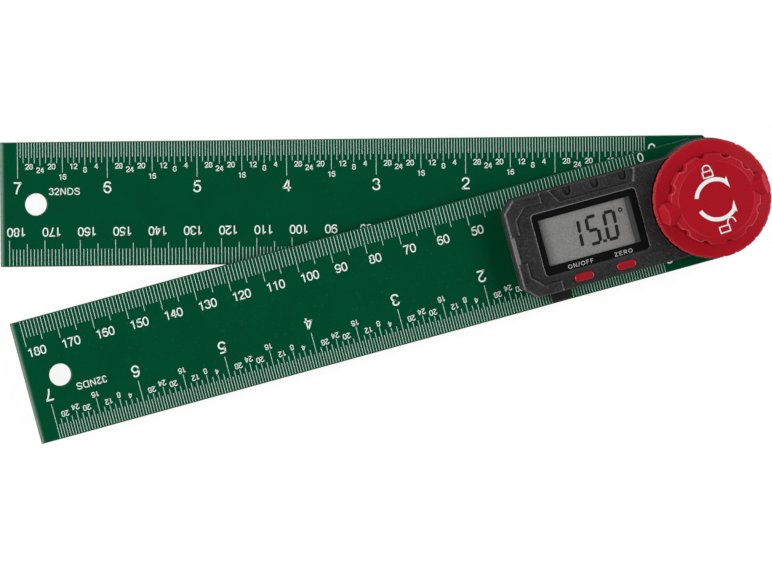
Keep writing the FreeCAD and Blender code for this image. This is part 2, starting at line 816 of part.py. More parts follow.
def display_block(name, length, width, base, top):
    return block(name, f"-window_centre - ({length}) / 2", f"-window_centre + ({length}) / 2",
                 f"window_offset - ({width}) / 2", f"window_offset + ({width}) / 2", base, top)


board_top = "board_base + board_thickness"
lcd_panel = display_block("lcd_panel", "glass_length", "glass_width", "glass_base",
                          "glass_base + glass_thickness")
lcd_polariser = block("lcd_polariser", "-film_left", "-film_right", "window_offset - film_width / 2",
                      "window_offset + film_width / 2", "glass_base + glass_thickness",
                      "glass_base + glass_thickness + film_thickness")
frame_inner = ("glass_length + 2 * frame_gap", "glass_width + 2 * frame_gap")
frame_outer = tuple(f"{size} + 2 * frame_wall" for size in frame_inner)
lcd_frame = cut(
    "lcd_frame",
    display_block("lcd_frame_block", *frame_outer, board_top, "ceiling - lens_sunk"),
    display_block("lcd_frame_room", *frame_inner, board_top, "ceiling - lens_sunk"),
)
zebra_strips = group("zebra_strips", [
    block(f"zebra_strip_{index}", "-window_centre - zebra_length / 2", "-window_centre + zebra_length / 2",
          f"window_offset + {side} * zebra_offset - zebra_width / 2",
          f"window_offset + {side} * zebra_offset + zebra_width / 2", board_top, "glass_base")
    for index, side in enumerate((-1, 1), start=1)
])
for solid in (lcd_panel, lcd_polariser):
    solid.Label = solid.Name
PARTS += [lcd_panel, lcd_polariser, lcd_frame, zebra_strips]

# ---------------------------------------------------------------- circuit board

main_board = new_body("main_board")
board_plan = new_sketch(main_board, "board_plan", "board_base")
board_meet = "-sqrt(board_round_radius^2 - board_half_width^2)"
board_corner = "case_corner_cut"
outline(board_plan, [
    ("-board_end", f"board_half_width - {board_corner}"),
    ("-board_end", f"-board_half_width + {board_corner}"),
    (f"-board_end + {board_corner}", "-board_half_width"),
    (board_meet, "-board_half_width", ("0", "0"), "ccw"),
    (board_meet, "board_half_width"),
    (f"-board_end + {board_corner}", "board_half_width"),
])
pad(main_board, "board_plate", board_plan, "board_thickness")
board_holes = new_sketch(main_board, "board_hole_plan", "board_base")
circle(board_holes, "0", "0", "board_hub_hole_radius")
pocket(main_board, "hub_hole", board_holes, "board_thickness", up=True)
for index, (x, y) in enumerate(BOSSES, start=1):
    notch = new_sketch(main_board, f"boss_notch_plan_{index}", "board_base")
    circle(notch, x, y, "boss_radius + board_boss_gap")
    pocket(main_board, f"boss_notch_{index}", notch, "board_thickness", up=True)
PARTS.append(main_board)

blob = doc.addObject("Part::Sphere", "blob_sphere")
bind(blob, Radius="blob_radius")
locate(blob, "-window_centre", "window_offset", f"{board_top} + blob_height - blob_radius")
controller_blob = doc.addObject("Part::Common", "controller_blob")
controller_blob.Label = "controller_blob"
controller_blob.Base = blob
controller_blob.Tool = display_block("blob_layer", "blob_size", "blob_size", board_top,
                                     f"{board_top} + blob_height")
PARTS.append(controller_blob)

COMPONENTS = {
    # name: x, y, length, width, height above the board
    "supply_capacitor": ("-16", "5.2", "3.2", "1.6", "1.2"),
    "clock_capacitor_1": ("-15.6", "2", "1.6", "0.8", "0.6"),
    "clock_capacitor_2": ("-15.6", "0.4", "1.6", "0.8", "0.6"),
    "drive_resistor_1": ("-15.6", "-1.2", "1.6", "0.8", "0.5"),
    "drive_resistor_2": ("-15.6", "-2.8", "1.6", "0.8", "0.5"),
    "clock_crystal": ("-15.6", "-5.4", "3.2", "1.5", "0.8"),
    "left_capacitor_1": ("-54.2", "2.4", "0.8", "1.6", "0.6"),
    "left_capacitor_2": ("-54.2", "-1.2", "0.8", "1.6", "0.6"),
}
board_components = group("board_components", [
    block(name, f"{x} - {length} / 2", f"{x} + {length} / 2", f"{y} - {width} / 2", f"{y} + {width} / 2",
          board_top, f"{board_top} + {height}")
    for name, (x, y, length, width, height) in COMPONENTS.items()
])
dome_switches = group("dome_switches", [
    fuse(f"switch_{index}", [
        block(f"switch_body_{index}", f"{x} - switch_length / 2", f"{x} + switch_length / 2",
              "button_row + button_stem_shift - switch_width / 2",
              "button_row + button_stem_shift + switch_width / 2",
              board_top, f"{board_top} + switch_height - weld"),
        cylinder(f"switch_plunger_{index}", "switch_plunger_radius", "switch_height", board_top,
                 x, "button_row + button_stem_shift"),
    ])
    for index, x in enumerate(BUTTONS.values(), start=1)
])
PARTS += [board_components, dome_switches]

# ---------------------------------------------------------------- buttons

for label, x in BUTTONS.items():
    button = new_body(label)
    cap_plan = new_sketch(button, f"{label}_cap_plan", "button_flange_top")
    pill(cap_plan, x, "button_row", "button_length", "button_width")
    pad(button, f"{label}_cap", cap_plan, "button_top - button_flange_top")
    cap_level = number("button_top")
    dress(button, "Fillet", f"{label}_cap_edge", "button_edge_radius", lambda edge: level(edge, cap_level))
    flange_plan = new_sketch(button, f"{label}_flange_plan", "button_flange_base")
    pill(flange_plan, x, "button_row + button_flange_shift", "button_length + 2 * button_flange_margin",
         "button_width + button_flange_margin - button_gap")
    pad(button, f"{label}_flange", flange_plan, "button_flange_top - button_flange_base")
    stem_plan = new_sketch(button, f"{label}_stem_plan", "button_foot")
    circle(stem_plan, x, "button_row + button_stem_shift", "button_stem_radius")
    pad(button, f"{label}_stem", stem_plan, "button_flange_base - button_foot + weld")
    PARTS.append(button)

# ---------------------------------------------------------------- battery tray

tray_front = "-(case_half_width - top_inset / 2)"
tray_body = block("tray_body", "-tray_centre - tray_width / 2", "-tray_centre + tray_width / 2",
                  tray_front, "tray_back", "tray_base", "tray_base + tray_thickness")
cell_y = f"({tray_front} + tray_front_thickness + cell_radius + cell_gap)"
tray_hole = cylinder("tray_hole", "cell_radius + cell_gap", "tray_thickness", "tray_base",
                     "-tray_centre", cell_y)
lip_blank = block("lip_blank", "-lip_left", "-lip_right", "-lip_reach", f"{tray_front} + lip_root",
                  "lip_base", "lip_base + lip_thickness")
lip_ribs = [
    block(f"lip_rib_{index}", "-lip_left", "-lip_right", f"-lip_reach + {index} * 2 * lip_rib_width",
          f"-lip_reach + ({index} * 2 + 1) * lip_rib_width", "lip_base + lip_thickness - weld",
          "lip_base + lip_thickness + lip_rib_height")
    for index in range(int(number("lip_rib_count")))
]
battery_tray = fuse("battery_tray", [cut("tray_ring", tray_body, tray_hole), lip_blank] + lip_ribs)
coin_cell = fuse("coin_cell", [
    cylinder("cell_can", "cell_radius", "cell_height - cell_lid_height", "tray_base + cell_lid_height",
             "-tray_centre", cell_y),
    cylinder("cell_lid", "cell_lid_radius", "cell_lid_height + weld", "tray_base", "-tray_centre", cell_y),
])
PARTS += [battery_tray, coin_cell]

leaf_base = "tray_base + tray_thickness + leaf_gap"
battery_contact_positive = fuse("battery_contact_positive", [
    block("positive_leaf", "-tray_centre - leaf_length / 2", "-tray_centre + leaf_length / 2",
          "-leaf_width / 2", "leaf_width / 2", leaf_base, f"{leaf_base} + leaf_thickness"),
    block("positive_pad", "-tray_centre - leaf_pad_length / 2", "-tray_centre + leaf_pad_length / 2",
          "-leaf_width / 2", "leaf_width / 2", leaf_base, "board_base"),
])
post_x = "-tray_centre + tray_width / 2 + post_gap"
battery_contact_negative = fuse("battery_contact_negative", [
    block("negative_strip", "-tray_centre - strip_reach", post_x, "-strip_far", "-strip_near",
          "floor_top", "floor_top + strip_thickness"),
    block("negative_post", f"{post_x} - post_thickness / 2", f"{post_x} + post_thickness / 2",
          "-strip_far", "-strip_near", "floor_top", "board_base"),
])
PARTS += [battery_contact_positive, battery_contact_negative]

# ---------------------------------------------------------------- housing screws


def screw(index, x, y):
    """A countersunk screw whose head is just below the upper rule's underside."""
    base = "upper_arm_base + screw_recess"
    head = doc.addObject("Part::Cone", f"screw_head_{index}")
    bind(head, Radius1="screw_head_radius", Radius2="screw_radius", Height="screw_head_height")
    locate(head, x, y, base)
    shank = cylinder(f"screw_shank_{index}", "screw_radius", "screw_length", base, x, y)
    slots = [
        block(f"screw_slot_{index}_along", f"{x} - cross_length / 2", f"{x} + cross_length / 2",
              f"{y} - cross_width / 2", f"{y} + cross_width / 2", base, f"{base} + cross_depth"),
        block(f"screw_slot_{index}_across", f"{x} - cross_width / 2", f"{x} + cross_width / 2",
              f"{y} - cross_length / 2", f"{y} + cross_length / 2", base, f"{base} + cross_depth"),
    ]
    return cut(f"screw_{index}", fuse(f"screw_blank_{index}", [head, shank]),
               fuse(f"screw_cross_{index}", slots))


PARTS.append(group("housing_screws", [screw(index, x, y) for index, (x, y) in enumerate(BOSSES, start=1)]))

# ---------------------------------------------------------------- knob

knob_blank = new_body("knob_blank")
profile = new_sketch(knob_blank, "knob_profile", "0", "XZ_Plane")
outline(profile, [
    ("0", "knob_base"),
    ("flange_radius - flange_foot_bevel", "knob_base"),
    ("flange_radius", "knob_base + flange_foot_bevel"),
    ("flange_radius", "flange_edge_top"),
    ("flange_shoulder_radius", "flange_shoulder_height"),
    ("hub_foot_radius", "hub_foot_height"),
    ("hub_shoulder_radius", "hub_shoulder_height"),
    ("hub_disc_radius", "knob_top"),
    ("0", "knob_top"),
])
turned = knob_blank.newObject("PartDesign::Revolution", "knob_turned_blank")
turned.Profile = profile
turned.ReferenceAxis = (profile, ["V_Axis"])
turned.Angle = 360
doc.recompute()


def round_cuts(body, name, centre, radius, foot, count):
    """Round cuts down to a foot, the first one made and then repeated round the axis."""
    sketch = new_sketch(body, f"{name}_circle", "knob_top")
    circle(sketch, centre, "0", radius)
    first = pocket(body, f"first_{name}", sketch, f"knob_top - {foot}")
    pattern = body.newObject("PartDesign::PolarPattern", f"{name}_pattern")
    pattern.Originals = [first]
    pattern.Axis = (sketch, ["N_Axis"])
    pattern.Angle = 360
    pattern.Occurrences = int(number(count))
    bind(pattern, Occurrences=count)
    body.Tip = pattern
    doc.recompute()


# Finger flutes run down the hub, and small notches cut the flange's rim.
round_cuts(knob_blank, "flute", "flute_centre", "flute_radius", "hub_foot_height", "flute_count")
round_cuts(knob_blank, "notch", "flange_radius + notch_radius - notch_depth", "notch_radius", "knob_base",
           "notch_count")

# The two lugs are the ends of one bar across the knob, level with its top. The bar's sides lean in
# to a ridge above a shoulder, and each end is cut back by a sloping facet.
lug_bar = new_body("lug_bar")
bar_plan = new_sketch(lug_bar, "lug_bar_plan", "lug_base")
outline(bar_plan, [
    ("-lug_reach", "-lug_half_width + lug_corner_cut"),
    ("-lug_reach + lug_corner_cut", "-lug_half_width"),
    ("lug_reach - lug_corner_cut", "-lug_half_width"),
    ("lug_reach", "-lug_half_width + lug_corner_cut"),
    ("lug_reach", "lug_half_width - lug_corner_cut"),
    ("lug_reach - lug_corner_cut", "lug_half_width"),
    ("-lug_reach + lug_corner_cut", "lug_half_width"),
    ("-lug_reach", "lug_half_width - lug_corner_cut"),
])
pad(lug_bar, "lug_bar_block", bar_plan, "knob_top - lug_base")
for side, name in ((-1, "near"), (1, "far")):
    lean = new_sketch(lug_bar, f"{name}_lean_section", "-lug_reach - cutter_margin", "YZ_Plane")
    outline(lean, [
        (f"{side} * lug_half_width", "lug_shoulder_height"),
        (f"{side} * (lug_half_width + cutter_margin)", "lug_shoulder_height"),
        (f"{side} * (lug_half_width + cutter_margin)", "knob_top + cutter_margin"),
        (f"{side} * lug_ridge_half_width", "knob_top + cutter_margin"),
        (f"{side} * lug_ridge_half_width", "knob_top"),
    ])
    pocket(lug_bar, f"{name}_lean", lean, "2 * lug_reach + 2 * cutter_margin", up=True)
for side, name in ((-1, "left"), (1, "right")):
    facet = new_sketch(lug_bar, f"{name}_facet_section", "-lug_half_width - cutter_margin", "XZ_Plane")
    outline(facet, [
        (f"{side} * lug_reach", "lug_facet_foot"),
        (f"{side} * (lug_reach + cutter_margin)", "lug_facet_foot"),
        (f"{side} * (lug_reach + cutter_margin)", "knob_top + cutter_margin"),
        (f"{side} * lug_ridge_reach", "knob_top + cutter_margin"),
        (f"{side} * lug_ridge_reach", "knob_top"),
    ])
    pocket(lug_bar, f"{name}_facet", facet, "2 * lug_half_width + 2 * cutter_margin", up=True)

# Below, the knob is hollow round the sleeve that holds the threaded insert.
knob_rooms = fuse("knob_rooms", [
    ring("knob_cavity", "knob_cavity_outer", "knob_cavity_inner", "knob_cavity_top - knob_base",
         "knob_base"),
    cylinder("insert_room", "insert_radius", "insert_room_top - knob_base", "knob_base"),
])
knob_body = cut("knob_body", fuse("knob_solid", [knob_blank, lug_bar]), knob_rooms)
bind(knob_body, Placement__Rotation__Yaw="knob_turned")

knob_insert = ring("knob_insert", "insert_radius", "insert_bore_radius", "insert_height", "insert_base")
PARTS += [knob_body, knob_insert]

# ---------------------------------------------------------------- checks and files

doc.recompute()
for thing in doc.Objects:
    if {"Invalid", "Error"} & set(thing.State):
        raise RuntimeError(f"{thing.Name} is {thing.State}")
for part in PARTS:
    if part.Shape.isNull() or not part.Shape.isValid() or not part.Shape.Solids:
        raise RuntimeError(f"{part.Label} has no valid solid")
for part in PARTS:
    part.Shape.exportStep(f"parts/{part.Label}.step")
    print(f"{part.Label}: {len(part.Shape.Solids)} solid(s), {part.Shape.Volume:.1f} mm3")
print(f"{len(PARTS)} sub-parts written")
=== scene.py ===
# %% [markdown]
# # Dressing a digital angle finder
# The object is two painted steel rules on one pivot, a small housing with a display on the upper
# rule, and a lock knob. A CAD model already holds every piece at its real size and place. This
# lesson loads it as a fixed frame, gives each piece the finish that it has on the real thing, and
# adds the printing, which is too thin to be a CAD part.

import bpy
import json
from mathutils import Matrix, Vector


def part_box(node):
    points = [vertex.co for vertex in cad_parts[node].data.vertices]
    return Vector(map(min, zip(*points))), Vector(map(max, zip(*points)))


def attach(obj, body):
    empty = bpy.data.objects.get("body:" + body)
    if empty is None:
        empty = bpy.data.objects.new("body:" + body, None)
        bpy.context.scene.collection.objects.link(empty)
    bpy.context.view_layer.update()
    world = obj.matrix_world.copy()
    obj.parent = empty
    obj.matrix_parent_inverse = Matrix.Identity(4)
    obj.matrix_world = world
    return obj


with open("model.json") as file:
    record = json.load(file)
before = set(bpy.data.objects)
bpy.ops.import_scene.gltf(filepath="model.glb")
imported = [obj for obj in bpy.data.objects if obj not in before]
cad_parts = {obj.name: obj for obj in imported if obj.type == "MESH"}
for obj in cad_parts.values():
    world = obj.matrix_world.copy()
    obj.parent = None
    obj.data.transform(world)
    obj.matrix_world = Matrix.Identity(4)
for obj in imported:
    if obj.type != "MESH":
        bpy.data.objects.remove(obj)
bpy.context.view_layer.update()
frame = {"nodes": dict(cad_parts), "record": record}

# %% [markdown]
# Blender works in metres, and this object is measured in millimetres. One factor turns the one
# into the other. The angle between the rules isn't written again here: the hanging hole of the
# lower rule is a mount of the record, so its place gives the angle.

# %% Units and the angle between the rules
import math
from collections import namedtuple

import bmesh
import bpy
from mathutils import Matrix, Vector

MM = 0.001
mounts = {mount["name"]: mount for mount in frame["record"]["mounts"]}
hole_x, hole_y, _ = mounts["hang_hole_lower"]["pos_m"]
SWING = math.atan2(-hole_y, -hole_x)
print(f"the lower rule is turned by {math.degrees(SWING):.1f} degrees about the pivot")

# %% [markdown]
# ## Finishes
# A colour is easiest to choose as a screen shows it, from 0 to 255, but shader nodes work with
# linear light. The curve between the two is the standard one of every screen.

# %% Colours as a screen shows them
BLACK, WHITE = (0.0, 0.0, 0.0, 1.0), (1.0, 1.0, 1.0, 1.0)


def screen(red, green, blue):
    """Screen values from 0 to 255, as the linear colour that shader nodes use."""
    def linear(value):
        share = value / 255
        return share / 12.92 if share < 0.04 else ((share + 0.055) / 1.055) ** 2.4
    return (linear(red), linear(green), linear(blue), 1.0)


def shade(colour, gain, lift=0.0):
    """The colour made lighter or darker by a factor, and then by an even lift."""
    return tuple(gain * channel + lift for channel in colour[:3]) + (1.0,)


print("a grey of 128 on the screen is", round(screen(128, 128, 128)[0], 3), "in linear light")

# %% [markdown]
# Every finish is a small tree of shader nodes round one Principled shader. Adding and linking
# nodes one by one makes long scripts, so a class holds the tree and offers the few moves that the
# finishes need: arithmetic, a range that is spread out, and a mix of colours or shaders.

# %% Short ways to add nodes to a tree


class Nodes:
    """A node tree. Any input takes either a plain value or the output of another node."""

    def __init__(self, tree):
        self.tree = tree

    def feed(self, socket, value):
        if isinstance(value, bpy.types.NodeSocket):
            self.tree.links.new(value, socket)
        else:
            socket.default_value = value

    def node(self, kind, settings=(), **inputs):
        made = self.tree.nodes.new("ShaderNode" + kind)
        for name, value in dict(settings).items():
            setattr(made, name, value)
        for name, value in inputs.items():
            self.feed(made.inputs[name.replace("_", " ")], value)
        return made

    def maths(self, operation, first, second=0.0):
        made = self.node("Math", {"operation": operation})
        self.feed(made.inputs[0], first)
        self.feed(made.inputs[1], second)
        return made.outputs[0]

    def product(self, first, *others):
        for other in others:
            first = self.maths("MULTIPLY", first, other)
        return first

    def split(self, vector):
        """The X, Y and Z of a vector."""
        return self.node("SeparateXYZ", Vector=vector).outputs

    def spread(self, value, low, high, start=0.0, end=1.0):
        """The value's range from low to high, made to run from start to end."""
        names = {"From_Min": low, "From_Max": high, "To_Min": start, "To_Max": end}
        return self.node("MapRange", Value=value, **names).outputs[0]

    def mix(self, share, first, second):
        """Two colours, mixed: share 0 is all of the first."""
        made = self.node("Mix", {"data_type": "RGBA"})
        first_colour, second_colour = made.inputs[6], made.inputs[7]
        self.feed(made.inputs["Factor"], share)
        self.feed(first_colour, first)
        self.feed(second_colour, second)
        return made.outputs[2]

    def blend(self, share, first, second):
        """Two whole shaders, mixed."""
        made = self.node("MixShader")
        for socket, value in zip(made.inputs, (share, first, second)):
            self.feed(socket, value)
        return made.outputs[0]


print("the helper has", len([name for name in vars(Nodes) if name[0] != "_"]), "moves")

# %% [markdown]
# A finish is a material with two things to steer it by: the place of a point on the object, and
# the way its face looks. Sizes of a pattern are given in millimetres, because that is how one sees
# a grain. Some finishes paint a shade into corners and a highlight onto edges. Both could be
# painted by hand, but ambient occlusion finds them for every piece at once: looking outwards it is
# dark in corners, and looking into the solid it is dark along the outer edges.

# %% A finish is a material round one Principled shader
NOISE_RANGE = (0.3, 0.7)
OCCLUSION_RAYS = 6
FINISHES = {}


class Finish(Nodes):
    """A material. Its place is in metres in the object's own frame."""

    def __init__(self, name, colour, roughness, metallic=0.0, specular=0.5):
        self.name, self.material = name, bpy.data.materials.new(name)
        self.material.use_nodes = True
        super().__init__(self.material.node_tree)
        self.shader = self.tree.nodes["Principled BSDF"]
        self.surface = self.tree.nodes["Material Output"].inputs["Surface"]
        coordinates = self.node("TexCoord")
        self.place = coordinates.outputs["Object"]
        self.facing = self.split(coordinates.outputs["Normal"])
        self.give(Base_Color=colour, Roughness=roughness, Metallic=metallic,
                  Specular_IOR_Level=specular)

    def give(self, **inputs):
        """Sets or links inputs of the Principled shader."""
        for name, value in inputs.items():
            self.feed(self.shader.inputs[name.replace("_", " ")], value)

    def noise(self, grain, detail=2.0, stretch=(1, 1, 1)):
        """Noise, mostly in NOISE_RANGE, whose blotches are grain millimetres wide."""
        place = self.node("Mapping", Vector=self.place, Scale=stretch).outputs[0]
        texture = self.node("TexNoise", Vector=place, Scale=1 / (grain * MM), Detail=detail)
        return texture.outputs[0]

    def along(self, axis):
        """From 0, where a face looks across that axis, to 1, where it looks along it."""
        return self.maths("ABSOLUTE", self.facing[axis])

    def nearness(self, reach, inside=False):
        """From 0 in the open to about 0.5 in a corner, where other faces lie within reach. Looking
        inside the solid instead, it finds the outer edges."""
        settings = {"samples": OCCLUSION_RAYS, "inside": inside, "only_local": inside}
        made = self.node("AmbientOcclusion", settings, Distance=reach * MM)
        return self.maths("SUBTRACT", 1.0, made.outputs["AO"])

    def bump(self, height, depth, under=None):
        """A bump of that depth in millimetres, on top of the one under it."""
        made = self.node("Bump", Height=height, Distance=depth * MM)
        if under is not None:
            self.feed(made.inputs["Normal"], under)
        return made.outputs[0]

    def done(self):
        """Files the material under its name and says how large its tree got."""
        FINISHES[self.name] = self.material
        print(self.name, "takes", len(self.tree.nodes), "nodes")
        return self.material


# %% [markdown]
# ## Rule paint
# The rules are steel sheet under a dark green powder coat. Powder melts into a skin with a faint
# orange peel and a few pale specks. An image could hold all this, but it would have to be fitted
# to each rule, while nodes fit every face by themselves. The sides of the sheet are found by the
# way their faces look, and get a lighter green as a painted highlight, with worn spots in it. Over
# the last millimetre before the free end a paler green is painted as a highlight as well. That
# band lies square to each rule, so a place is turned back by the rule's angle and then measured.

# %% Green powder coat on steel
# The paler greens of the free end and of the sides are painted highlights; the worn green is wear.
RULE_GREEN, PALE_SPECK, END_HIGHLIGHT_GREEN = screen(0, 75, 47), screen(70, 112, 88), screen(164, 188, 173)
SIDE_HIGHLIGHT_GREEN, WORN_GREEN = screen(34, 84, 60), screen(96, 122, 106)
RULE_LENGTH, END_HIGHLIGHT_BAND, END_HIGHLIGHT_FALLOFF = 200, 1.3, 2.5


def free_end(finish):
    """From 0, a little more than a millimetre in from a rule's free end, to 1 at the end."""
    ends = []
    for turn in (0.0, SWING):
        straight = finish.node("VectorRotate", {"rotation_type": "Z_AXIS"}, Vector=finish.place,
                               Angle=-turn)
        x = finish.split(straight.outputs[0])["X"]
        ends.append(finish.spread(x, (END_HIGHLIGHT_BAND - RULE_LENGTH) * MM, -RULE_LENGTH * MM))
    return finish.maths("MAXIMUM", *ends)


def powder_coat():
    finish = Finish("rule_paint", RULE_GREEN, 0.5, specular=0.02)
    cloud = finish.spread(finish.noise(9), 0.35, 0.65)
    coat = finish.mix(cloud, shade(RULE_GREEN, 0.97), shade(RULE_GREEN, 1.04))
    specks = finish.spread(finish.noise(0.42, 1), 0.70, 0.78, 0, 0.4)
    coat = finish.mix(specks, coat, PALE_SPECK)
    # A painted highlight pales the free end.
    coat = finish.mix(finish.maths("POWER", free_end(finish), END_HIGHLIGHT_FALLOFF), coat, END_HIGHLIGHT_GREEN)
    # The sides get a lighter green as a painted highlight, with worn spots in it.
    worn = finish.spread(finish.noise(0.35, 3), 0.56, 0.66)
    side_highlight_and_wear = finish.spread(finish.along("Z"), 0.55, 0.97, 1, 0)
    finish.give(Base_Color=finish.mix(side_highlight_and_wear, coat, finish.mix(worn, SIDE_HIGHLIGHT_GREEN, WORN_GREEN)))
    finish.give(Roughness=finish.spread(finish.noise(0.8), *NOISE_RANGE, 0.42, 0.56))
    orange_peel = finish.bump(finish.noise(0.9), 0.012)
    finish.give(Normal=finish.bump(finish.noise(0.16, 1), 0.003, orange_peel))
    return finish.done()


powder_coat()

# %% [markdown]
# ## Moulded plastics
# The housing, the tray and the knob come out of etched moulds, so they share one recipe: a fine
# grain in the surface, a roughness that varies a little, and a base tone that isn't quite even.
# Shade and light are painted into the tone as well. A painted shade darkens the corners, and a
# painted highlight pales the outer edges, most of all where their faces look along X, towards the
# lamps. A gentle bevel gets the highlight too, but it is too wide for the occlusion to find, so its
# slope picks it out. Steep walls are made duller. They are seen at a grazing angle, where any gloss
# would mirror the pale floor and wash the black out.

# %% Corners and edges of a moulding
# A painted shade darkens the corners, and a painted highlight pales the edges.
CORNER_REACH, EDGE_REACH = 0.6, 0.45
PAINTED_SHADE_GAIN = 0.2
HIGHLIGHT_GAIN, HIGHLIGHT_LIFT = 1.3, 0.26


def soil_corners(finish, tone, colour, amount):
    """The tone, with a painted shade where faces meet in a corner."""
    share = finish.spread(finish.nearness(CORNER_REACH), 0.02, 0.25, 0, amount)
    return finish.mix(share, tone, shade(colour, PAINTED_SHADE_GAIN))


def rub_edges(finish, tone, colour, amount, bevels):
    """The tone, with a painted highlight on outer edges and, by the share of bevels, on gentle
    slopes.
    """
    level = finish.along("Z")
    edge = finish.spread(finish.nearness(EDGE_REACH, inside=True), 0.05, 0.28)
    slope = finish.product(finish.spread(level, 0.97, 0.94), finish.spread(level, 0.84, 0.9),
                           bevels)
    across = finish.spread(finish.along("X"), 0.05, 0.45, 0.08 * amount, amount)
    share = finish.product(finish.maths("MAXIMUM", edge, slope), across,
                           finish.spread(level, 0.2, 0.4))
    return finish.mix(share, tone, shade(colour, HIGHLIGHT_GAIN, HIGHLIGHT_LIFT))


# Corners get a painted shade within CORNER_REACH, and edges a painted highlight within EDGE_REACH.
print(f"corners hold dust for {CORNER_REACH} mm, and edges are rubbed for {EDGE_REACH} mm")

# %% [markdown]
# The recipe takes the grain and its depth in millimetres. Mottle is how far the tone strays either
# way, speckle is how strongly the single pale grains show, and the last three say how strong the
# painted shade in the corners and the painted highlight on the edges and the bevels are.

# %% One recipe for etched plastic
SPECK_SHADE, SPECK_GRAIN = 3, 1.3
GLOSS_STRAY, WALL_DULLNESS = 0.06, 0.4


def etched_plastic(name, colour, roughness, grain, depth, mottle, specular=0.5, speckle=0.0,
                   corners=0.0, edges=0.0, bevels=0.0):
    finish = Finish(name, colour, roughness, specular=specular)
    fine = finish.noise(grain)
    cloud = finish.spread(finish.noise(6, 3), *NOISE_RANGE, -0.3, 0.3)
    mixed = finish.maths("ADD", cloud, finish.spread(fine, *NOISE_RANGE, -0.7, 0.7))
    tone = finish.mix(finish.spread(mixed, -1, 1), shade(colour, 1 - mottle),
                      shade(colour, 1 + mottle))
    specks = finish.spread(finish.noise(SPECK_GRAIN * grain, 1), 0.66, 0.76, 0, speckle)
    tone = finish.mix(specks, tone, shade(colour, SPECK_SHADE))
    # Corners get a painted shade, and edges and bevels get a painted highlight.
    if corners:
        tone = soil_corners(finish, tone, colour, corners)
    if edges:
        tone = rub_edges(finish, tone, colour, edges, bevels)
    finish.give(Base_Color=tone)
    varied = finish.spread(fine, *NOISE_RANGE, roughness - GLOSS_STRAY, roughness + GLOSS_STRAY)
    dull_walls = finish.spread(finish.along("Z"), 0.5, 0.2, 0, WALL_DULLNESS)
    finish.give(Roughness=finish.maths("ADD", varied, dull_walls))
    finish.give(Normal=finish.bump(fine, depth))
    return finish.done()


print(f"steep walls are rougher than level faces by {WALL_DULLNESS}")

# %% [markdown]
# Seven finishes come from it. The housing is coarse black plastic with pale grains, the battery
# tray a darker and finer one, and the knob a smooth red one. Inside lie the black film round the
# display, the pale holder of its glass, the drop of resin on the chip, and the nylon of the
# washers.

# %% The moulded finishes
MOULDED = {
    "case_plastic": {"colour": screen(46, 46, 47), "roughness": 0.33, "grain": 0.42, "depth": 0.035,
                     "mottle": 0.6, "specular": 0.28, "speckle": 1.0, "corners": 0.8, "edges": 1.0,
                     "bevels": 0.45},
    "tray_plastic": {"colour": screen(26, 26, 27), "roughness": 0.5, "grain": 0.3, "depth": 0.02,
                     "mottle": 0.2, "specular": 0.3, "corners": 0.9, "edges": 0.3},
    "knob_plastic": {"colour": screen(170, 24, 37), "roughness": 0.28, "grain": 0.35,
                     "depth": 0.006, "mottle": 0.04, "specular": 0.03, "speckle": 0.03,
                     "corners": 0.4, "edges": 0.55},
    "gasket_film": {"colour": screen(9, 9, 10), "roughness": 0.5, "grain": 0.2, "depth": 0.002,
                    "mottle": 0.3, "specular": 0.08},
    "frame_plastic": {"colour": screen(205, 204, 198), "roughness": 0.5, "grain": 0.4,
                      "depth": 0.006, "mottle": 0.04},
    "blob_resin": {"colour": screen(20, 20, 21), "roughness": 0.18, "grain": 1.4, "depth": 0.03,
                   "mottle": 0.1},
    "nylon": {"colour": screen(222, 219, 208), "roughness": 0.5, "grain": 0.5, "depth": 0.006,
              "mottle": 0.03},
}

for name, settings in MOULDED.items():
    etched_plastic(name, **settings)

# %% [markdown]
# The two keys are red too, but polished and a little lacquered, with the dull marks of fingers. A
# coat layer on the Principled shader gives them a highlight of their own above the soft red.

# %% Lacquered red of the keys
KEY_RED, TOUCHED_RED = screen(164, 25, 38), screen(152, 22, 34)


def key_lacquer():
    finish = Finish("button_plastic", KEY_RED, 0.24, specular=0.3)
    marks = finish.spread(finish.noise(1.6, 4), 0.5, 0.7)
    finish.give(Base_Color=finish.mix(marks, KEY_RED, TOUCHED_RED))
    finish.give(Roughness=finish.spread(marks, 0, 1, 0.2, 0.34))
    finish.give(Coat_Weight=0.3, Coat_Roughness=0.1)
    finish.give(Normal=finish.bump(finish.noise(0.2), 0.002))
    return finish.done()


key_lacquer()

# %% [markdown]
# ## The display
# A liquid-crystal display is grey because its rear film reflects the light in the room. The film
# has the fine sparkle of foil. A painted shade makes it darker towards both ends, where the frame
# of the window keeps light off. Beside the film the bare glass shows, with the fine rows of its
# contacts, and a wave texture draws those. The glass is darker than the film, and its grey is
# also a painted shade for the frame's shadow that falls on it.

# %% Film and glass
FILM_GREY = screen(141, 141, 140)
DARK_ENDS = [(-46.2, -48.7, 0.47), (-25.2, -23.8, 0.25)]
# The glass grey is darker than the film and also serves as a painted shade for the frame's shadow.
SHADED_GLASS_GREY, CONTACT_GREY, CONTACT_WAVES = screen(87, 88, 89), screen(102, 103, 104), 160.0


def display_film():
    finish = Finish("display_film", FILM_GREY, 0.55, specular=0.3)
    sparkle = finish.maths("ADD", finish.noise(0.3, 1), finish.noise(0.75, 2))
    foil = finish.mix(finish.spread(sparkle, 0.7, 1.3), shade(FILM_GREY, 0.8),
                      shade(FILM_GREY, 1.2))
    x = finish.split(finish.place)["X"]
    dark = [finish.spread(x, start * MM, end * MM, 0, share) for start, end, share in DARK_ENDS]
    finish.give(Base_Color=finish.mix(finish.maths("ADD", *dark), foil, BLACK))
    finish.give(Normal=finish.bump(finish.noise(0.12), 0.002))
    return finish.done()


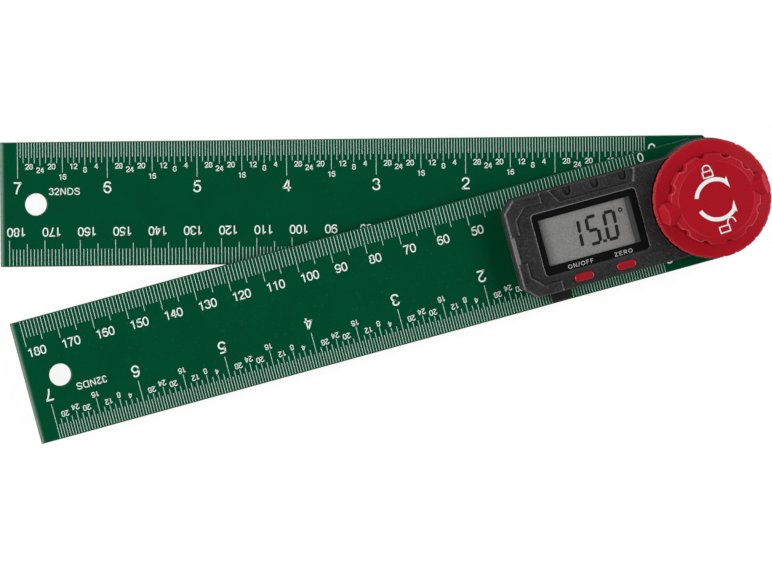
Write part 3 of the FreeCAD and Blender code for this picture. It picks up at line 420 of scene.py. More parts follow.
def display_glass():
    finish = Finish("display_glass", SHADED_GLASS_GREY, 0.3, specular=0.4)
    rows = finish.node("TexWave", {"bands_direction": "X"}, Vector=finish.place,
                       Scale=CONTACT_WAVES, Distortion=0.0)
    contacts = finish.spread(rows.outputs[1], 0.6, 0.9, 0, 0.5)
    finish.give(Base_Color=finish.mix(contacts, SHADED_GLASS_GREY, CONTACT_GREY))
    return finish.done()


display_film()
display_glass()

# %% [markdown]
# Above the display lies a clear moulded window. Real refraction would cost render time and shows
# nothing here, so the window only mirrors a little, as Fresnel's law says, and lets the rest
# through. Its bevelled rim gets a pale, rough shader as a painted highlight, strongest on its two
# ends and on the side that faces +Y.

# %% Clear window with a painted highlight on its bevel
# The pale colour of the rim is a painted highlight.
RIM_HIGHLIGHT, ACRYLIC_IOR = screen(205, 207, 210), 1.49


def clear_window():
    finish = Finish("lens_acrylic", RIM_HIGHLIGHT, 0.45)
    finish.give(Roughness=finish.spread(finish.noise(0.25), *NOISE_RANGE, 0.35, 0.75))
    up = finish.facing["Z"]
    bevel = finish.product(finish.spread(up, 0.9, 0.8), finish.spread(up, 0.2, 0.3))
    # The pale shader on the bevel is a painted highlight, strongest where the bevel faces along X
    # or towards +Y.
    lit = finish.maths("ADD", finish.spread(finish.along("X"), 0, 0.7, 0.3, 0.85),
                       finish.spread(finish.facing["Y"], -0.7, 0.7, -0.2, 0.2))
    outer_face = finish.maths("SUBTRACT", 1.0, finish.node("NewGeometry").outputs["Backfacing"])
    mirrored = finish.product(finish.node("Fresnel", IOR=ACRYLIC_IOR).outputs[0], outer_face)
    clear = finish.node("BsdfTransparent").outputs[0]
    mirror = finish.node("BsdfGlossy", Color=WHITE, Roughness=0.03).outputs[0]
    pane = finish.blend(mirrored, clear, mirror)
    rim_highlight = finish.shader.outputs[0]
    finish.feed(finish.surface, finish.blend(finish.product(bevel, lit), pane, rim_highlight))
    return finish.done()


clear_window()

# %% [markdown]
# ## Metals
# Small turned parts carry fine rings from the lathe, and sheet parts carry the long scratches of
# the rolling mill. Rings come from a wave texture about the pivot, which is the origin of the
# frame. Scratches are noise that is stretched along one axis.

# %% Turned and rolled metal
WAVE_LENGTH = 0.3142  # of the wave texture at a scale of 1
RING_PITCH = 0.12


def turned_metal(name, colour, roughness):
    finish = Finish(name, colour, roughness, metallic=1.0)
    rings = finish.node("TexWave", {"wave_type": "RINGS", "rings_direction": "Z"},
                        Vector=finish.place, Scale=WAVE_LENGTH / (RING_PITCH * MM),
                        Distortion=0.4, Detail=1.0)
    stain = finish.spread(finish.noise(2.2, 4), 0.35, 0.65)
    finish.give(Base_Color=finish.mix(stain, shade(colour, 0.86), shade(colour, 1.06)))
    finish.give(Roughness=finish.spread(stain, 0, 1, roughness + 0.1, roughness - 0.04))
    finish.give(Normal=finish.bump(rings.outputs[1], 0.002))
    return finish.done()


def rolled_metal(name, colour, roughness):
    finish = Finish(name, colour, roughness, metallic=1.0)
    scratches = finish.noise(0.15, 3, stretch=(0.05, 1, 1))
    stain = finish.spread(finish.noise(1.8, 3), *NOISE_RANGE)
    finish.give(Base_Color=finish.mix(stain, shade(colour, 0.9), shade(colour, 1.05)))
    finish.give(Roughness=finish.spread(scratches, *NOISE_RANGE, roughness - 0.08,
                                        roughness + 0.12))
    finish.give(Normal=finish.bump(scratches, 0.003))
    return finish.done()


rolled_metal("steel", (0.56, 0.56, 0.57, 1), 0.34)
rolled_metal("cell_steel", (0.66, 0.66, 0.64, 1), 0.26)
turned_metal("stud_steel", (0.6, 0.59, 0.55, 1), 0.3)
turned_metal("screw_steel", (0.55, 0.55, 0.56, 1), 0.3)
turned_metal("brass", (0.72, 0.52, 0.22, 1), 0.26)

# %% [markdown]
# ## Electronics
# The circuit board and the encoder disc are glass-fibre laminate under green solder mask. The
# encoder works by pads that lie in a ring about the pivot, so the angle round the axis, cut into
# equal steps, draws them. Outside the ring thin tracks run under the mask, and the joints of a
# brick texture stand for them.

# %% Laminate with tracks and encoder pads
DARK_MASK, LIGHT_MASK, TRACK_GREEN = screen(10, 70, 40), screen(16, 88, 50), screen(34, 122, 66)
GOLD = screen(196, 160, 88)
PADS, PAD_GAP = 48, 0.45
PADS_FROM, PADS_TO, TRACKS_FROM = 8.2, 12.8, 15


def laminate():
    finish = Finish("board_laminate", LIGHT_MASK, 0.32)
    spot = finish.split(finish.place)
    x, y = spot["X"], spot["Y"]
    square = finish.maths("ADD", finish.product(x, x), finish.product(y, y))
    radius = finish.maths("SQRT", square)
    steps = finish.product(finish.maths("ARCTAN2", y, x), PADS / (2 * math.pi))
    pads = finish.product(finish.maths("GREATER_THAN", finish.maths("FRACT", steps), PAD_GAP),
                          finish.maths("GREATER_THAN", radius, PADS_FROM * MM),
                          finish.maths("LESS_THAN", radius, PADS_TO * MM))
    bricks = finish.node("TexBrick", Vector=finish.place, Scale=230.0, Mortar_Size=0.03, Bias=-0.3)
    tracks = finish.product(bricks.outputs["Fac"],
                            finish.maths("GREATER_THAN", radius, TRACKS_FROM * MM))
    mask = finish.mix(finish.spread(finish.noise(0.5, 3), *NOISE_RANGE), DARK_MASK, LIGHT_MASK)
    traced = finish.mix(tracks, mask, TRACK_GREEN)
    finish.give(Base_Color=finish.mix(pads, traced, GOLD), Metallic=finish.product(pads, 0.9))
    finish.give(Normal=finish.bump(finish.maths("ADD", pads, tracks), 0.02))
    return finish.done()


laminate()

# %% [markdown]
# Two more finishes sit on the board. The strips that join the glass to it are rubber with carbon
# layers between clear ones, cut across. The small parts are tan ceramic with tinned ends, and a
# noise with a hard step sets the grey spots.

# %% Striped rubber and ceramic parts
CARBON, CLEAR_RUBBER, LAYER_WAVES = screen(38, 30, 32), screen(190, 120, 116), 900.0
CERAMIC, TIN = screen(148, 114, 82), screen(196, 196, 192)


def striped_rubber():
    finish = Finish("zebra_rubber", CLEAR_RUBBER, 0.6)
    layers = finish.node("TexWave", {"bands_direction": "X"}, Vector=finish.place,
                         Scale=LAYER_WAVES)
    share = finish.spread(layers.outputs[1], 0.4, 0.6)
    finish.give(Base_Color=finish.mix(share, CARBON, CLEAR_RUBBER))
    return finish.done()


def component_bodies():
    finish = Finish("component_ceramic", CERAMIC, 0.35)
    tinned = finish.spread(finish.noise(0.9, 0), 0.56, 0.58)
    finish.give(Base_Color=finish.mix(tinned, CERAMIC, TIN), Metallic=finish.product(tinned, 0.8))
    finish.give(Normal=finish.bump(finish.noise(0.2), 0.004))
    return finish.done()


striped_rubber()
component_bodies()

# %% [markdown]
# ## Putting the finishes on
# The record says which material slot each piece uses. A finish is made once for each slot and then
# put on every piece of that slot, so that the same moulding always looks the same.

# %% Put each finish on its pieces
for part in frame["record"]["subparts"]:
    piece = frame["nodes"][part["node"]]
    piece.data.materials.clear()
    piece.data.materials.append(FINISHES[part["material_slot"]])
print(len(FINISHES), "finishes on", len(frame["nodes"]), "pieces")

# %% [markdown]
# ## Softened edges
# A moulded edge is never razor sharp, and paint rounds the edge of a sheet. The CAD model leaves
# most small edges sharp, because fits and sizes matter there. A Bevel modifier rounds them for the
# eye only and leaves the mesh as it was. Hardened normals keep the flat faces flat beside it.

# %% Round the sharp edges of mouldings, keys and rules
EDGE_ROUND = {
    "housing_top": 0.2, "housing_base": 0.2, "battery_tray": 0.1, "knob_body": 0.25,
    "on_off_button": 0.05, "zero_button": 0.05, "upper_arm": 0.25, "lower_arm": 0.25,
}
SHARP_FROM = math.radians(30)


def soften(piece, width):
    """Rounds the sharp edges with that width in millimetres."""
    bevel = piece.modifiers.new("softened", "BEVEL")
    bevel.width = width * MM
    bevel.segments = 2
    bevel.limit_method = "ANGLE"
    bevel.angle_limit = SHARP_FROM
    bevel.use_clamp_overlap = True
    bevel.harden_normals = True


for name, width in EDGE_ROUND.items():
    soften(frame["nodes"][name], width)
print(len(EDGE_ROUND), "pieces softened")

# %% [markdown]
# ## Strokes
# The scales need hundreds of thin lines and several hundred figures. A figure is made the way a
# sign writer makes it, from strokes of even width: straight ones, curves, and closed ovals. Text
# objects would do this too, but their built-in typeface has other shapes. A stroke here is only
# its centre line. Coordinates are in shares of the figure's height.

# %% Centre lines
Stroke = namedtuple("Stroke", "points closed level_ends")
CURVE_STEPS, OVAL_STEPS = 9, 30


def line(*points):
    return Stroke(list(points), False, False)


def slant(start, end):
    """A straight stroke whose ends are cut level, as the diagonals of N and Z are."""
    return Stroke([start, end], False, True)


def curve(start, *pieces):
    """A smooth stroke through cubic pieces, each given as two handles and an end."""
    points = [start]
    for first, second, end in pieces:
        begin = points[-1]
        for step in range(1, CURVE_STEPS + 1):
            t = step / CURVE_STEPS
            weights = ((1 - t) ** 3, 3 * t * (1 - t) ** 2, 3 * t * t * (1 - t), t ** 3)
            columns = zip(begin, first, second, end)
            points.append(tuple(sum(w * c for w, c in zip(weights, column))
                                for column in columns))
    return Stroke(points, False, False)


def oval(x, y, across, up, squareness=2.0):
    """A closed loop; above 2, squareness fills out its shoulders."""
    def swing(value):
        return math.copysign(abs(value) ** (2 / squareness), value)
    angles = [2 * math.pi * step / OVAL_STEPS for step in range(OVAL_STEPS)]
    points = [(x + across * swing(math.cos(a)), y + up * swing(math.sin(a))) for a in angles]
    return Stroke(points, True, False)


print("a round nought has", len(oval(0, 0, 1, 1).points), "points")

# %% [markdown]
# The figures on the tool are plain sans-serif shapes, all of one width, so that columns of them
# line up. A nine is a six that is turned half round.

# %% The figures
FIGURE_ADVANCE, FIGURE_MIDDLE = 0.777, 0.385


def half_turned(strokes):
    return [Stroke([(2 * FIGURE_MIDDLE - x, 1 - y) for x, y in stroke.points], stroke.closed,
                   stroke.level_ends) for stroke in strokes]


SIX = [
    curve((0.63, 0.77),
          ((0.60, 0.88), (0.52, 0.93), (0.41, 0.93)),
          ((0.22, 0.93), (0.12, 0.76), (0.12, 0.46)),
          ((0.12, 0.42), (0.12, 0.38), (0.12, 0.33))),
    oval(FIGURE_MIDDLE, 0.33, 0.265, 0.26),
]

FIGURES = {
    "0": [oval(FIGURE_MIDDLE, 0.5, 0.26, 0.43, 2.35)],
    "1": [line((0.45, 0), (0.45, 1)),
          curve((0.45, 0.97), ((0.39, 0.86), (0.29, 0.78), (0.17, 0.735)))],
    "2": [curve((0.12, 0.68),
                ((0.12, 0.84), (0.23, 0.93), (0.385, 0.93)),
                ((0.54, 0.93), (0.645, 0.84), (0.645, 0.71)),
                ((0.645, 0.56), (0.52, 0.46), (0.36, 0.33)),
                ((0.24, 0.23), (0.16, 0.15), (0.13, 0.05))),
          line((0.06, 0.07), (0.71, 0.07))],
    "3": [curve((0.12, 0.73),
                ((0.15, 0.86), (0.24, 0.93), (0.37, 0.93)),
                ((0.51, 0.93), (0.61, 0.85), (0.61, 0.74)),
                ((0.61, 0.61), (0.50, 0.54), (0.34, 0.54))),
          curve((0.36, 0.54),
                ((0.54, 0.54), (0.655, 0.44), (0.655, 0.30)),
                ((0.655, 0.16), (0.54, 0.07), (0.37, 0.07)),
                ((0.23, 0.07), (0.13, 0.15), (0.11, 0.29)))],
    "4": [slant((0.53, 1.0), (0.09, 0.25)), line((0.03, 0.29), (0.73, 0.29)),
          line((0.53, 0), (0.53, 1))],
    "5": [line((0.18, 0.93), (0.67, 0.93)), slant((0.235, 1.0), (0.16, 0.47)),
          curve((0.14, 0.46),
                ((0.21, 0.56), (0.30, 0.61), (0.39, 0.61)),
                ((0.54, 0.61), (0.655, 0.50), (0.655, 0.34)),
                ((0.655, 0.18), (0.54, 0.07), (0.38, 0.07)),
                ((0.24, 0.07), (0.13, 0.15), (0.11, 0.27)))],
    "6": SIX,
    "7": [line((0.06, 0.93), (0.71, 0.93)),
          curve((0.66, 0.91), ((0.46, 0.68), (0.32, 0.38), (0.28, 0.0)))],
    "8": [oval(FIGURE_MIDDLE, 0.735, 0.225, 0.195), oval(FIGURE_MIDDLE, 0.305, 0.265, 0.235)],
    "9": half_turned(SIX),
}
print(len(FIGURES), "figures drawn as strokes")

# %% [markdown]
# Only eight capitals and one slanting stroke are needed, for the names of the inch scale and of
# the keys. Capitals differ in width, so each entry says first how far the next one stands.

# %% The capitals
CAPITALS = {
    "D": (1.008, [
        line((0.18, 0), (0.18, 1)),
        curve((0.18, 0.93),
              ((0.30, 0.93), (0.40, 0.93), (0.48, 0.93)),
              ((0.76, 0.93), (0.87, 0.75), (0.87, 0.5)),
              ((0.87, 0.25), (0.76, 0.07), (0.48, 0.07)),
              ((0.40, 0.07), (0.30, 0.07), (0.18, 0.07)))]),
    "E": (0.90, [line((0.18, 0), (0.18, 1)), line((0.18, 0.93), (0.80, 0.93)),
                 line((0.18, 0.51), (0.76, 0.51)), line((0.18, 0.07), (0.82, 0.07))]),
    "F": (0.85, [line((0.18, 0), (0.18, 1)), line((0.18, 0.93), (0.76, 0.93)),
                 line((0.18, 0.5), (0.68, 0.5))]),
    "N": (1.008, [line((0.175, 0), (0.175, 1)), line((0.835, 0), (0.835, 1)),
                  slant((0.18, 1), (0.83, 0))]),
    "O": (1.1, [oval(0.55, 0.5, 0.43, 0.43)]),
    "R": (1.0, [
        line((0.18, 0), (0.18, 1)), slant((0.52, 0.5), (0.86, 0)),
        curve((0.18, 0.93),
              ((0.30, 0.93), (0.40, 0.93), (0.55, 0.93)),
              ((0.72, 0.93), (0.82, 0.86), (0.82, 0.72)),
              ((0.82, 0.58), (0.72, 0.51), (0.55, 0.51)),
              ((0.40, 0.51), (0.30, 0.51), (0.18, 0.51)))]),
    "S": (0.93, [
        curve((0.79, 0.71),
              ((0.75, 0.86), (0.64, 0.935), (0.47, 0.935)),
              ((0.30, 0.935), (0.17, 0.86), (0.17, 0.735)),
              ((0.17, 0.60), (0.30, 0.56), (0.47, 0.52)),
              ((0.66, 0.475), (0.80, 0.43), (0.80, 0.28)),
              ((0.80, 0.14), (0.67, 0.065), (0.48, 0.065)),
              ((0.28, 0.065), (0.15, 0.15), (0.12, 0.31)))]),
    "Z": (0.85, [line((0.06, 0.93), (0.80, 0.93)), line((0.04, 0.07), (0.80, 0.07)),
                 slant((0.71, 0.95), (0.13, 0.05))]),
    "/": (0.5, [slant((0.42, 1.05), (0.08, -0.05))]),
}
GLYPHS = {figure: (FIGURE_ADVANCE, strokes) for figure, strokes in FIGURES.items()} | CAPITALS
print(len(GLYPHS), "characters in all")

# %% [markdown]
# ## Relief
# Printing ink has a thickness, if only a few hundredths of a millimetre. So each print is a real
# body: a thin closed prism for every stroke, gathered into one mesh. The two long sides of a
# stroke come first, mitred where it turns.

# %% The two sides of a stroke


def sides_of(stroke, width):
    points = [Vector(point) for point in stroke.points]
    if stroke.level_ends:
        run = points[-1] - points[0]
        aside = Vector((width / 2 * run.length / abs(run.y), 0))
        return [tuple(p - aside) for p in points], [tuple(p + aside) for p in points]
    left, right = [], []
    count = len(points)
    for index, point in enumerate(points):
        ways = []
        if stroke.closed or index > 0:
            ways.append((point - points[index - 1]).normalized())
        if stroke.closed or index < count - 1:
            ways.append((points[(index + 1) % count] - point).normalized())
        way = sum(ways, Vector((0, 0))).normalized()
        aside = Vector((-way.y, way.x)) * (width / 2 / max(0.5, way.dot(ways[0])))
        left.append(tuple(point + aside))
        right.append(tuple(point - aside))
    return left, right


(left_x, _), (right_x, _) = (side[0] for side in sides_of(line((0, 0), (0, 1)), 0.1))
print(f"the sides of an upright stroke are at {left_x:.2f} and {right_x:.2f}")

# %% [markdown]
# A list of points and faces is the quickest way to make thousands of prisms; a bmesh then turns
# all the faces outwards. The finished print rides on its body, so that it moves with the rule, the
# knob or the housing that it is printed on.

# %% A relief collects closed prisms
RULE_PRINT, FILM_PRINT = 0.03, 0.02


def surface_of(node):
    """The height of a piece's highest point, in millimetres."""
    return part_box(node)[1].z / MM


def face_outwards(mesh):
    shell = bmesh.new()
    shell.from_mesh(mesh)
    bmesh.ops.recalc_face_normals(shell, faces=shell.faces)
    shell.to_mesh(mesh)
    shell.free()


class Relief:
    """Raised print on a level face. Its base and height are in millimetres."""

    def __init__(self, base, height=RULE_PRINT):
        self.base, self.top = base, base + height
        self.points, self.faces = [], []

    def plate(self, outline):
        """A prism on a closed outline."""
        start, count = len(self.points), len(outline)
        below = start + count
        self.points += [(x, y, z) for z in (self.top, self.base) for x, y in outline]
        self.faces.append(tuple(range(start, below)))
        self.faces.append(tuple(range(below + count - 1, below - 1, -1)))
        for here in range(count):
            there = (here + 1) % count
            self.faces.append((start + here, start + there, below + there, below + here))

    def band(self, left, right, closed):
        """A prism between two side lines, closed to a ring or capped at its ends."""
        start, count = len(self.points), len(left)
        for (x1, y1), (x2, y2) in zip(left, right):
            self.points += [(x1, y1, self.top), (x2, y2, self.top),
                            (x2, y2, self.base), (x1, y1, self.base)]
        for here in range(count if closed else count - 1):
            a, b = start + 4 * here, start + 4 * ((here + 1) % count)
            self.faces += [(a + side, a + (side + 1) % 4, b + (side + 1) % 4, b + side)
                           for side in range(4)]
        if not closed:
            last = start + 4 * (count - 1)
            self.faces += [(start, start + 3, start + 2, start + 1),
                           (last, last + 1, last + 2, last + 3)]

    def bar(self, x, width, low, high):
        """A rectangle centred on x, as each line of a scale is."""
        left, right = x - width / 2, x + width / 2
        self.plate([(left, low), (right, low), (right, high), (left, high)])

    def stroke(self, stroke, width):
        self.band(*sides_of(stroke, width), stroke.closed)

    def build(self, name, material, body, turn=0.0):
        """The mesh, in metres, turned about the pivot and riding on its body."""
        mesh = bpy.data.meshes.new(name)
        mesh.from_pydata([(x * MM, y * MM, z * MM) for x, y, z in self.points], [], self.faces)
        face_outwards(mesh)
        mesh.transform(Matrix.Rotation(turn, 4, "Z"))
        mesh.materials.append(material)
        piece = bpy.data.objects.new(name, mesh)
        bpy.context.scene.collection.objects.link(piece)
        print(name, "has", len(mesh.polygons), "faces")
        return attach(piece, body)


print(f"ink is {RULE_PRINT} mm thick on the rules and {FILM_PRINT} mm on film")

# %% [markdown]
# ## Writing
# A word is laid out from its glyphs, one after the other, and then set so that its ink starts, ends
# or is centred where the scale wants it. Half the scales read from the other side of the rule, so a
# word can also stand on its head. Weight is the width of a stroke, as a share of the height.

# %% Set a word on a relief
FIGURE_WEIGHT = 0.132


def write(relief, text, height, x, y, align="centre", turned=False, weight=FIGURE_WEIGHT, gap=0.0):
    """Text whose ink has that height, at x and centred on y."""
    strokes, pen = [], 0.0
    for character in text:
        advance, parts = GLYPHS[character]
        strokes += [(part, [(px + pen, py) for px, py in part.points]) for part in parts]
        pen += advance + gap
    inked = [px for _, points in strokes for px, _ in points]
    start, end = min(inked) - weight / 2, max(inked) + weight / 2
    origin = {"left": start, "centre": (start + end) / 2, "right": end}[align]
    size = -height if turned else height
    for part, points in strokes:
        placed = [(x + size * (px - origin), y + size * (py - 0.5)) for px, py in points]
        relief.stroke(Stroke(placed, part.closed, part.level_ends), weight * height)


print(f"a figure 1 mm high has strokes {FIGURE_WEIGHT} mm wide")

# %% [markdown]
# ## The scales
# Each rule has a millimetre scale on one edge and an inch scale on the other. On the upper rule the
# millimetres are on the far edge and read upright; on the lower rule the two change places. The
# scale on the near edge always reads from the other side. A scale could be an array of one line,
# but its lines have several lengths, so a function for each kind of scale draws them one by one.
# Lengths and depths are taken from the edge inwards.

# %% One line of a scale
HALF_WIDTH = 17.5
EDGE_GAPS = {1: 0.2, -1: 0.3}


def line_up(relief, reach, length, width, side):
    """A line that far from the pivot, running in from the edge on that side."""
    outer, inner = side * (HALF_WIDTH - EDGE_GAPS[side]), side * (HALF_WIDTH - length)
    relief.bar(-reach, width, min(outer, inner), max(outer, inner))


print("the lines start", EDGE_GAPS[1], "and", EDGE_GAPS[-1], "mm in from the two edges")

# %% [markdown]
# The millimetre scale runs from 0 to 180. Every fifth line is longer, every tenth is longer still,
# and a figure stands at its inner end. The line at zero is as short as the plain ones.

# %% The millimetre scale
MM_END, MM_LINE, MM_LENGTHS = 180, 0.155, {10: 7.4, 5: 6.4, 1: 4.88}
MM_FIGURE, MM_DEPTH, MM_DEPTH_TURNED, MM_ZERO_DEPTH = 2.55, 9.3, 9.7, 1.65
FIGURE_GAP = -0.06


def millimetre_scale(lines, figures, side, zero, zero_figure, overhang):
    """Lines and figures from 0 to the end. A figure's outer end is overhang past its line."""
    turned = side < 0
    for count in range(MM_END + 1):
        step = next(size for size in MM_LENGTHS if count % size == 0) if count else 1
        line_up(lines, zero + count, MM_LENGTHS[step], MM_LINE, side)
    y = side * (HALF_WIDTH - (MM_DEPTH_TURNED if turned else MM_DEPTH))
    for count in range(10, MM_END + 1, 10):
        write(figures, str(count), MM_FIGURE, -(zero + count + overhang), y,
              "right" if turned else "left", turned, gap=FIGURE_GAP)
    write(figures, "0", MM_FIGURE, -zero_figure, side * (HALF_WIDTH - MM_ZERO_DEPTH),
          turned=turned)


print("a millimetre scale has", MM_END + 1, "lines")

# %% [markdown]
# The inch scale is cut into thirty-seconds, with a small figure at every fourth and a large one at
# every inch. Its shortest lines have one length for the even thirty-seconds and one for the odd,
# and both differ between the rules.

# %% The inch scale
INCH, INCHES, PARTS = 25.4, 7, 32
INCH_LINE, INCH_LENGTHS = 0.147, {0: 10.15, 16: 8.5, 8: 6.55, 24: 6.55}
INCH_FIGURE, INCH_WEIGHT, INCH_DEPTH, INCH_ZERO_DEPTH = 3.4, 0.125, 12.85, 3.85
SMALL_FIGURE, SMALL_WEIGHT, SMALL_DEPTH = 1.6, 0.138, 6.63
DEEPER_FIGURES = {16: 9.58, 8: 7.63, 24: 7.63}


def inch_scale(lines, figures, side, zero, zero_figure, shortest, small_shift):
    """Lines in thirty-seconds, with a figure at every fourth."""
    turned = side < 0
    for count in range(INCHES * PARTS + 1):
        inch, part = divmod(count, PARTS)
        length = INCH_LENGTHS.get(part, shortest[part % 2]) if count else shortest[1]
        reach = zero + count * INCH / PARTS
        line_up(lines, reach, length, INCH_LINE, side)
        if part and part % 4 == 0:
            depth = DEEPER_FIGURES.get(part, SMALL_DEPTH) + small_shift[1]
            write(figures, str(part), SMALL_FIGURE, small_shift[0] - reach,
                  side * (HALF_WIDTH - depth), turned=turned, weight=SMALL_WEIGHT, gap=FIGURE_GAP)
        elif inch and part == 0:
            write(figures, str(inch), INCH_FIGURE, -reach, side * (HALF_WIDTH - INCH_DEPTH),
                  turned=turned, weight=INCH_WEIGHT)
    write(figures, "0", INCH_FIGURE, -zero_figure, side * (HALF_WIDTH - INCH_ZERO_DEPTH),
          turned=turned, weight=INCH_WEIGHT)


print("an inch scale has", INCHES * PARTS + 1, "lines")

# %% [markdown]
# The print is white ink through a silk screen. Over years of use it gets pinholes, which show as
# small dull spots. The broad figures hold more ink than the thin lines, where some green comes
# through, so the lines get an ink of their own. On the knob and on black film nothing tints it.

# %% White inks
PINHOLE = screen(170, 190, 180)


def white_ink(name, colour):
    finish = Finish(name, colour, 0.55, specular=0.3)
    holes = finish.spread(finish.noise(0.3, 2), 0.66, 0.72, 0, 0.35)
    finish.give(Base_Color=finish.mix(holes, colour, PINHOLE))
    finish.give(Normal=finish.bump(finish.noise(0.12), 0.003))
    return finish.done()


FIGURE_INK = white_ink("white_ink", screen(240, 250, 245))
LINE_INK = white_ink("line_ink", screen(212, 232, 223))
SYMBOL_INK = white_ink("symbol_ink", screen(240, 241, 241))

# %% [markdown]
# The two rules were printed with two screens, which differ by a few tenths of a millimetre. So a
# table holds where each scale starts, and one loop prints both rules. The scales of the lower rule
# are drawn along the X axis first and then turned with it.

# %% Print both rules
RULES = {
    "upper": {
        "body": "upper_assembly", "node": "upper_arm", "turn": 0.0, "side": 1,
        "name_at": (-182.05, -4.45),
        "millimetres": {"zero": 17.34, "zero_figure": 15.4, "overhang": -0.08},
        "inches": {"zero": 16.87, "zero_figure": 15.0, "shortest": (5.55, 4.1),
                   "small_shift": (0, 0)},
    },
    "lower": {
        "body": "swing_arm", "node": "lower_arm", "turn": SWING, "side": -1,
        "name_at": (-182.05, 3.6),
        "millimetres": {"zero": 17.68, "zero_figure": 15.8, "overhang": 0.65},
        "inches": {"zero": 17.47, "zero_figure": 15.3, "shortest": (5.85, 4.3),
                   "small_shift": (0.05, 0.22)},
    },
}
SCALE_NAME, NAME_HEIGHT, NAME_WEIGHT = "32NDS", 2.0, 0.127

for name, rule in RULES.items():
    surface, side = surface_of(rule["node"]), rule["side"]
    lines, figures = Relief(surface), Relief(surface)
    millimetre_scale(lines, figures, side, **rule["millimetres"])
    inch_scale(lines, figures, -side, **rule["inches"])
    write(figures, SCALE_NAME, NAME_HEIGHT, *rule["name_at"], turned=side > 0, weight=NAME_WEIGHT)
    lines.build(f"{name}_scale_lines", LINE_INK, rule["body"], rule["turn"])
    figures.build(f"{name}_scale_figures", FIGURE_INK, rule["body"], rule["turn"])

# %% [markdown]
# ## The reading
# The digits of the display are dark segments, each a bar with cut corners. A digit has seven of
# them. They lean a little, which is done by moving each point sideways in proportion to its height.

# %% The shape of a segment
DIGIT_WIDTH, DIGIT_HALF_HEIGHT, DIGIT_CENTRE_Y = 2.83, 3.84, 0.08
BAR_THICKNESS, UPRIGHT_LENGTH, LEVEL_LENGTH = 0.95, 3.4, 2.5
CORNER_CUT, LEAN = 0.6, 0.048


def segment(x, y, upright):
    """The outline of a bar with cut corners, leaned over."""
    half = (UPRIGHT_LENGTH if upright else LEVEL_LENGTH) / 2
    thick = BAR_THICKNESS / 2
    low, run = (1 - CORNER_CUT) * thick, half - CORNER_CUT * thick
    shape = [(-half, low), (-half, -low), (-run, -thick), (run, -thick),
             (half, -low), (half, low), (run, thick), (-run, thick)]
    if upright:
        shape = [(b, a) for a, b in shape]
    return [(x + a + LEAN * (y + b), y + b + DIGIT_CENTRE_Y) for a, b in shape]


print("a segment has", len(segment(0, 0, True)), "corners")

# %% [markdown]
# Segments go by the letters a to g, clockwise from the top, with g in the middle. A digit is the
# string of the letters that are lit. On the real thing the crystal goes dark between two sheets of
# glass. Here the bars lie a hair above the film and below the window, which looks the same.

# %% Dark segments on the film
SEGMENTS = {
    # name: x and y in shares of the digit, and whether the bar is upright
    "a": (0.5, 1.0, False), "b": (1.0, 0.5, True), "c": (1.0, -0.5, True),
    "d": (0.5, -1.0, False), "e": (0.0, -0.5, True), "f": (0.0, 0.5, True),
    "g": (0.5, 0.0, False),
}
READING = [("bc", -41.2), ("afgcd", -35.92), ("abcdef", -30.72)]  # 1, 5 and 0, from their left
POINT_X, POINT_Y, POINT_WIDTH, POINT_HEIGHT = -32.04, -3.75, 1.0, 0.8
DEGREE_AT, DEGREE_RADIUS, DEGREE_STROKE = (-25.66, 3.58), 0.47, 0.38
INK_BLACK, INK_GREY = screen(11, 11, 11), screen(24, 24, 24)


def display_ink():
    finish = Finish("display_ink", INK_BLACK, 0.5, specular=0.3)
    cloud = finish.spread(finish.noise(0.3, 1), 0.35, 0.65)
    finish.give(Base_Color=finish.mix(cloud, INK_BLACK, INK_GREY))
    return finish.done()


reading = Relief(surface_of("lcd_polariser"), FILM_PRINT)
for lit, left in READING:
    for across, up, upright in (SEGMENTS[letter] for letter in lit):
        x, y = left + across * DIGIT_WIDTH, up * DIGIT_HALF_HEIGHT
        reading.plate(segment(x, y, upright))
reading.bar(POINT_X, POINT_WIDTH, POINT_Y - POINT_HEIGHT / 2, POINT_Y + POINT_HEIGHT / 2)
reading.stroke(oval(*DEGREE_AT, DEGREE_RADIUS, DEGREE_RADIUS), DEGREE_STROKE)
reading.build("display_reading", display_ink(), "upper_assembly")

# %% [markdown]
# ## The words for the keys
# ON/OFF and ZERO are printed on the black frame film behind the window, in thinner and wider set
# capitals than those of the rules. The same strokes serve, with less weight and a gap between
# the letters.

# %% Words for the keys
WORD_HEIGHT, WORD_WEIGHT = 1.2, 0.1
KEY_WORDS = {"ON/OFF": (-40.42, -8.13, 0.176), "ZERO": (-27.94, -8.27, 0.2)}  # x, y and gap

words = Relief(surface_of("lens_gasket"), FILM_PRINT)
for word, (x, y, gap) in KEY_WORDS.items():
    write(words, word, WORD_HEIGHT, x, y, weight=WORD_WEIGHT, gap=gap)
words.build("key_words", SYMBOL_INK, "upper_assembly")

# %% [markdown]
# ## The knob's symbols
# Two curved arrows and two padlocks say which way locks and which way frees the rules. An arrow is
# an arc of even width that runs into a barbed head. A padlock is a frame with a shackle.

# %% Arrows and padlocks as strokes
ARC_RADIUS, ARC_WIDTH, ARC_STEPS = 5.67, 1.12, 28
SYMBOL_LINE = 0.33


def arc(radius, start, end):
    """Points along an arc about the pivot, with its angles in degrees."""
    turns = [start + (end - start) * step / ARC_STEPS for step in range(ARC_STEPS + 1)]
    angles = [math.radians(turn) for turn in turns]
    return [(radius * math.cos(angle), radius * math.sin(angle)) for angle in angles]


def arrow(relief, start, end, tip, barb):
    """An arc, and a head from its last two points to the barb and the tip."""
    outer, inner = (arc(ARC_RADIUS + side * ARC_WIDTH / 2, start, end) for side in (1, -1))
    relief.band(outer, inner, False)
    relief.plate([outer[-1], barb, tip, inner[-1]])


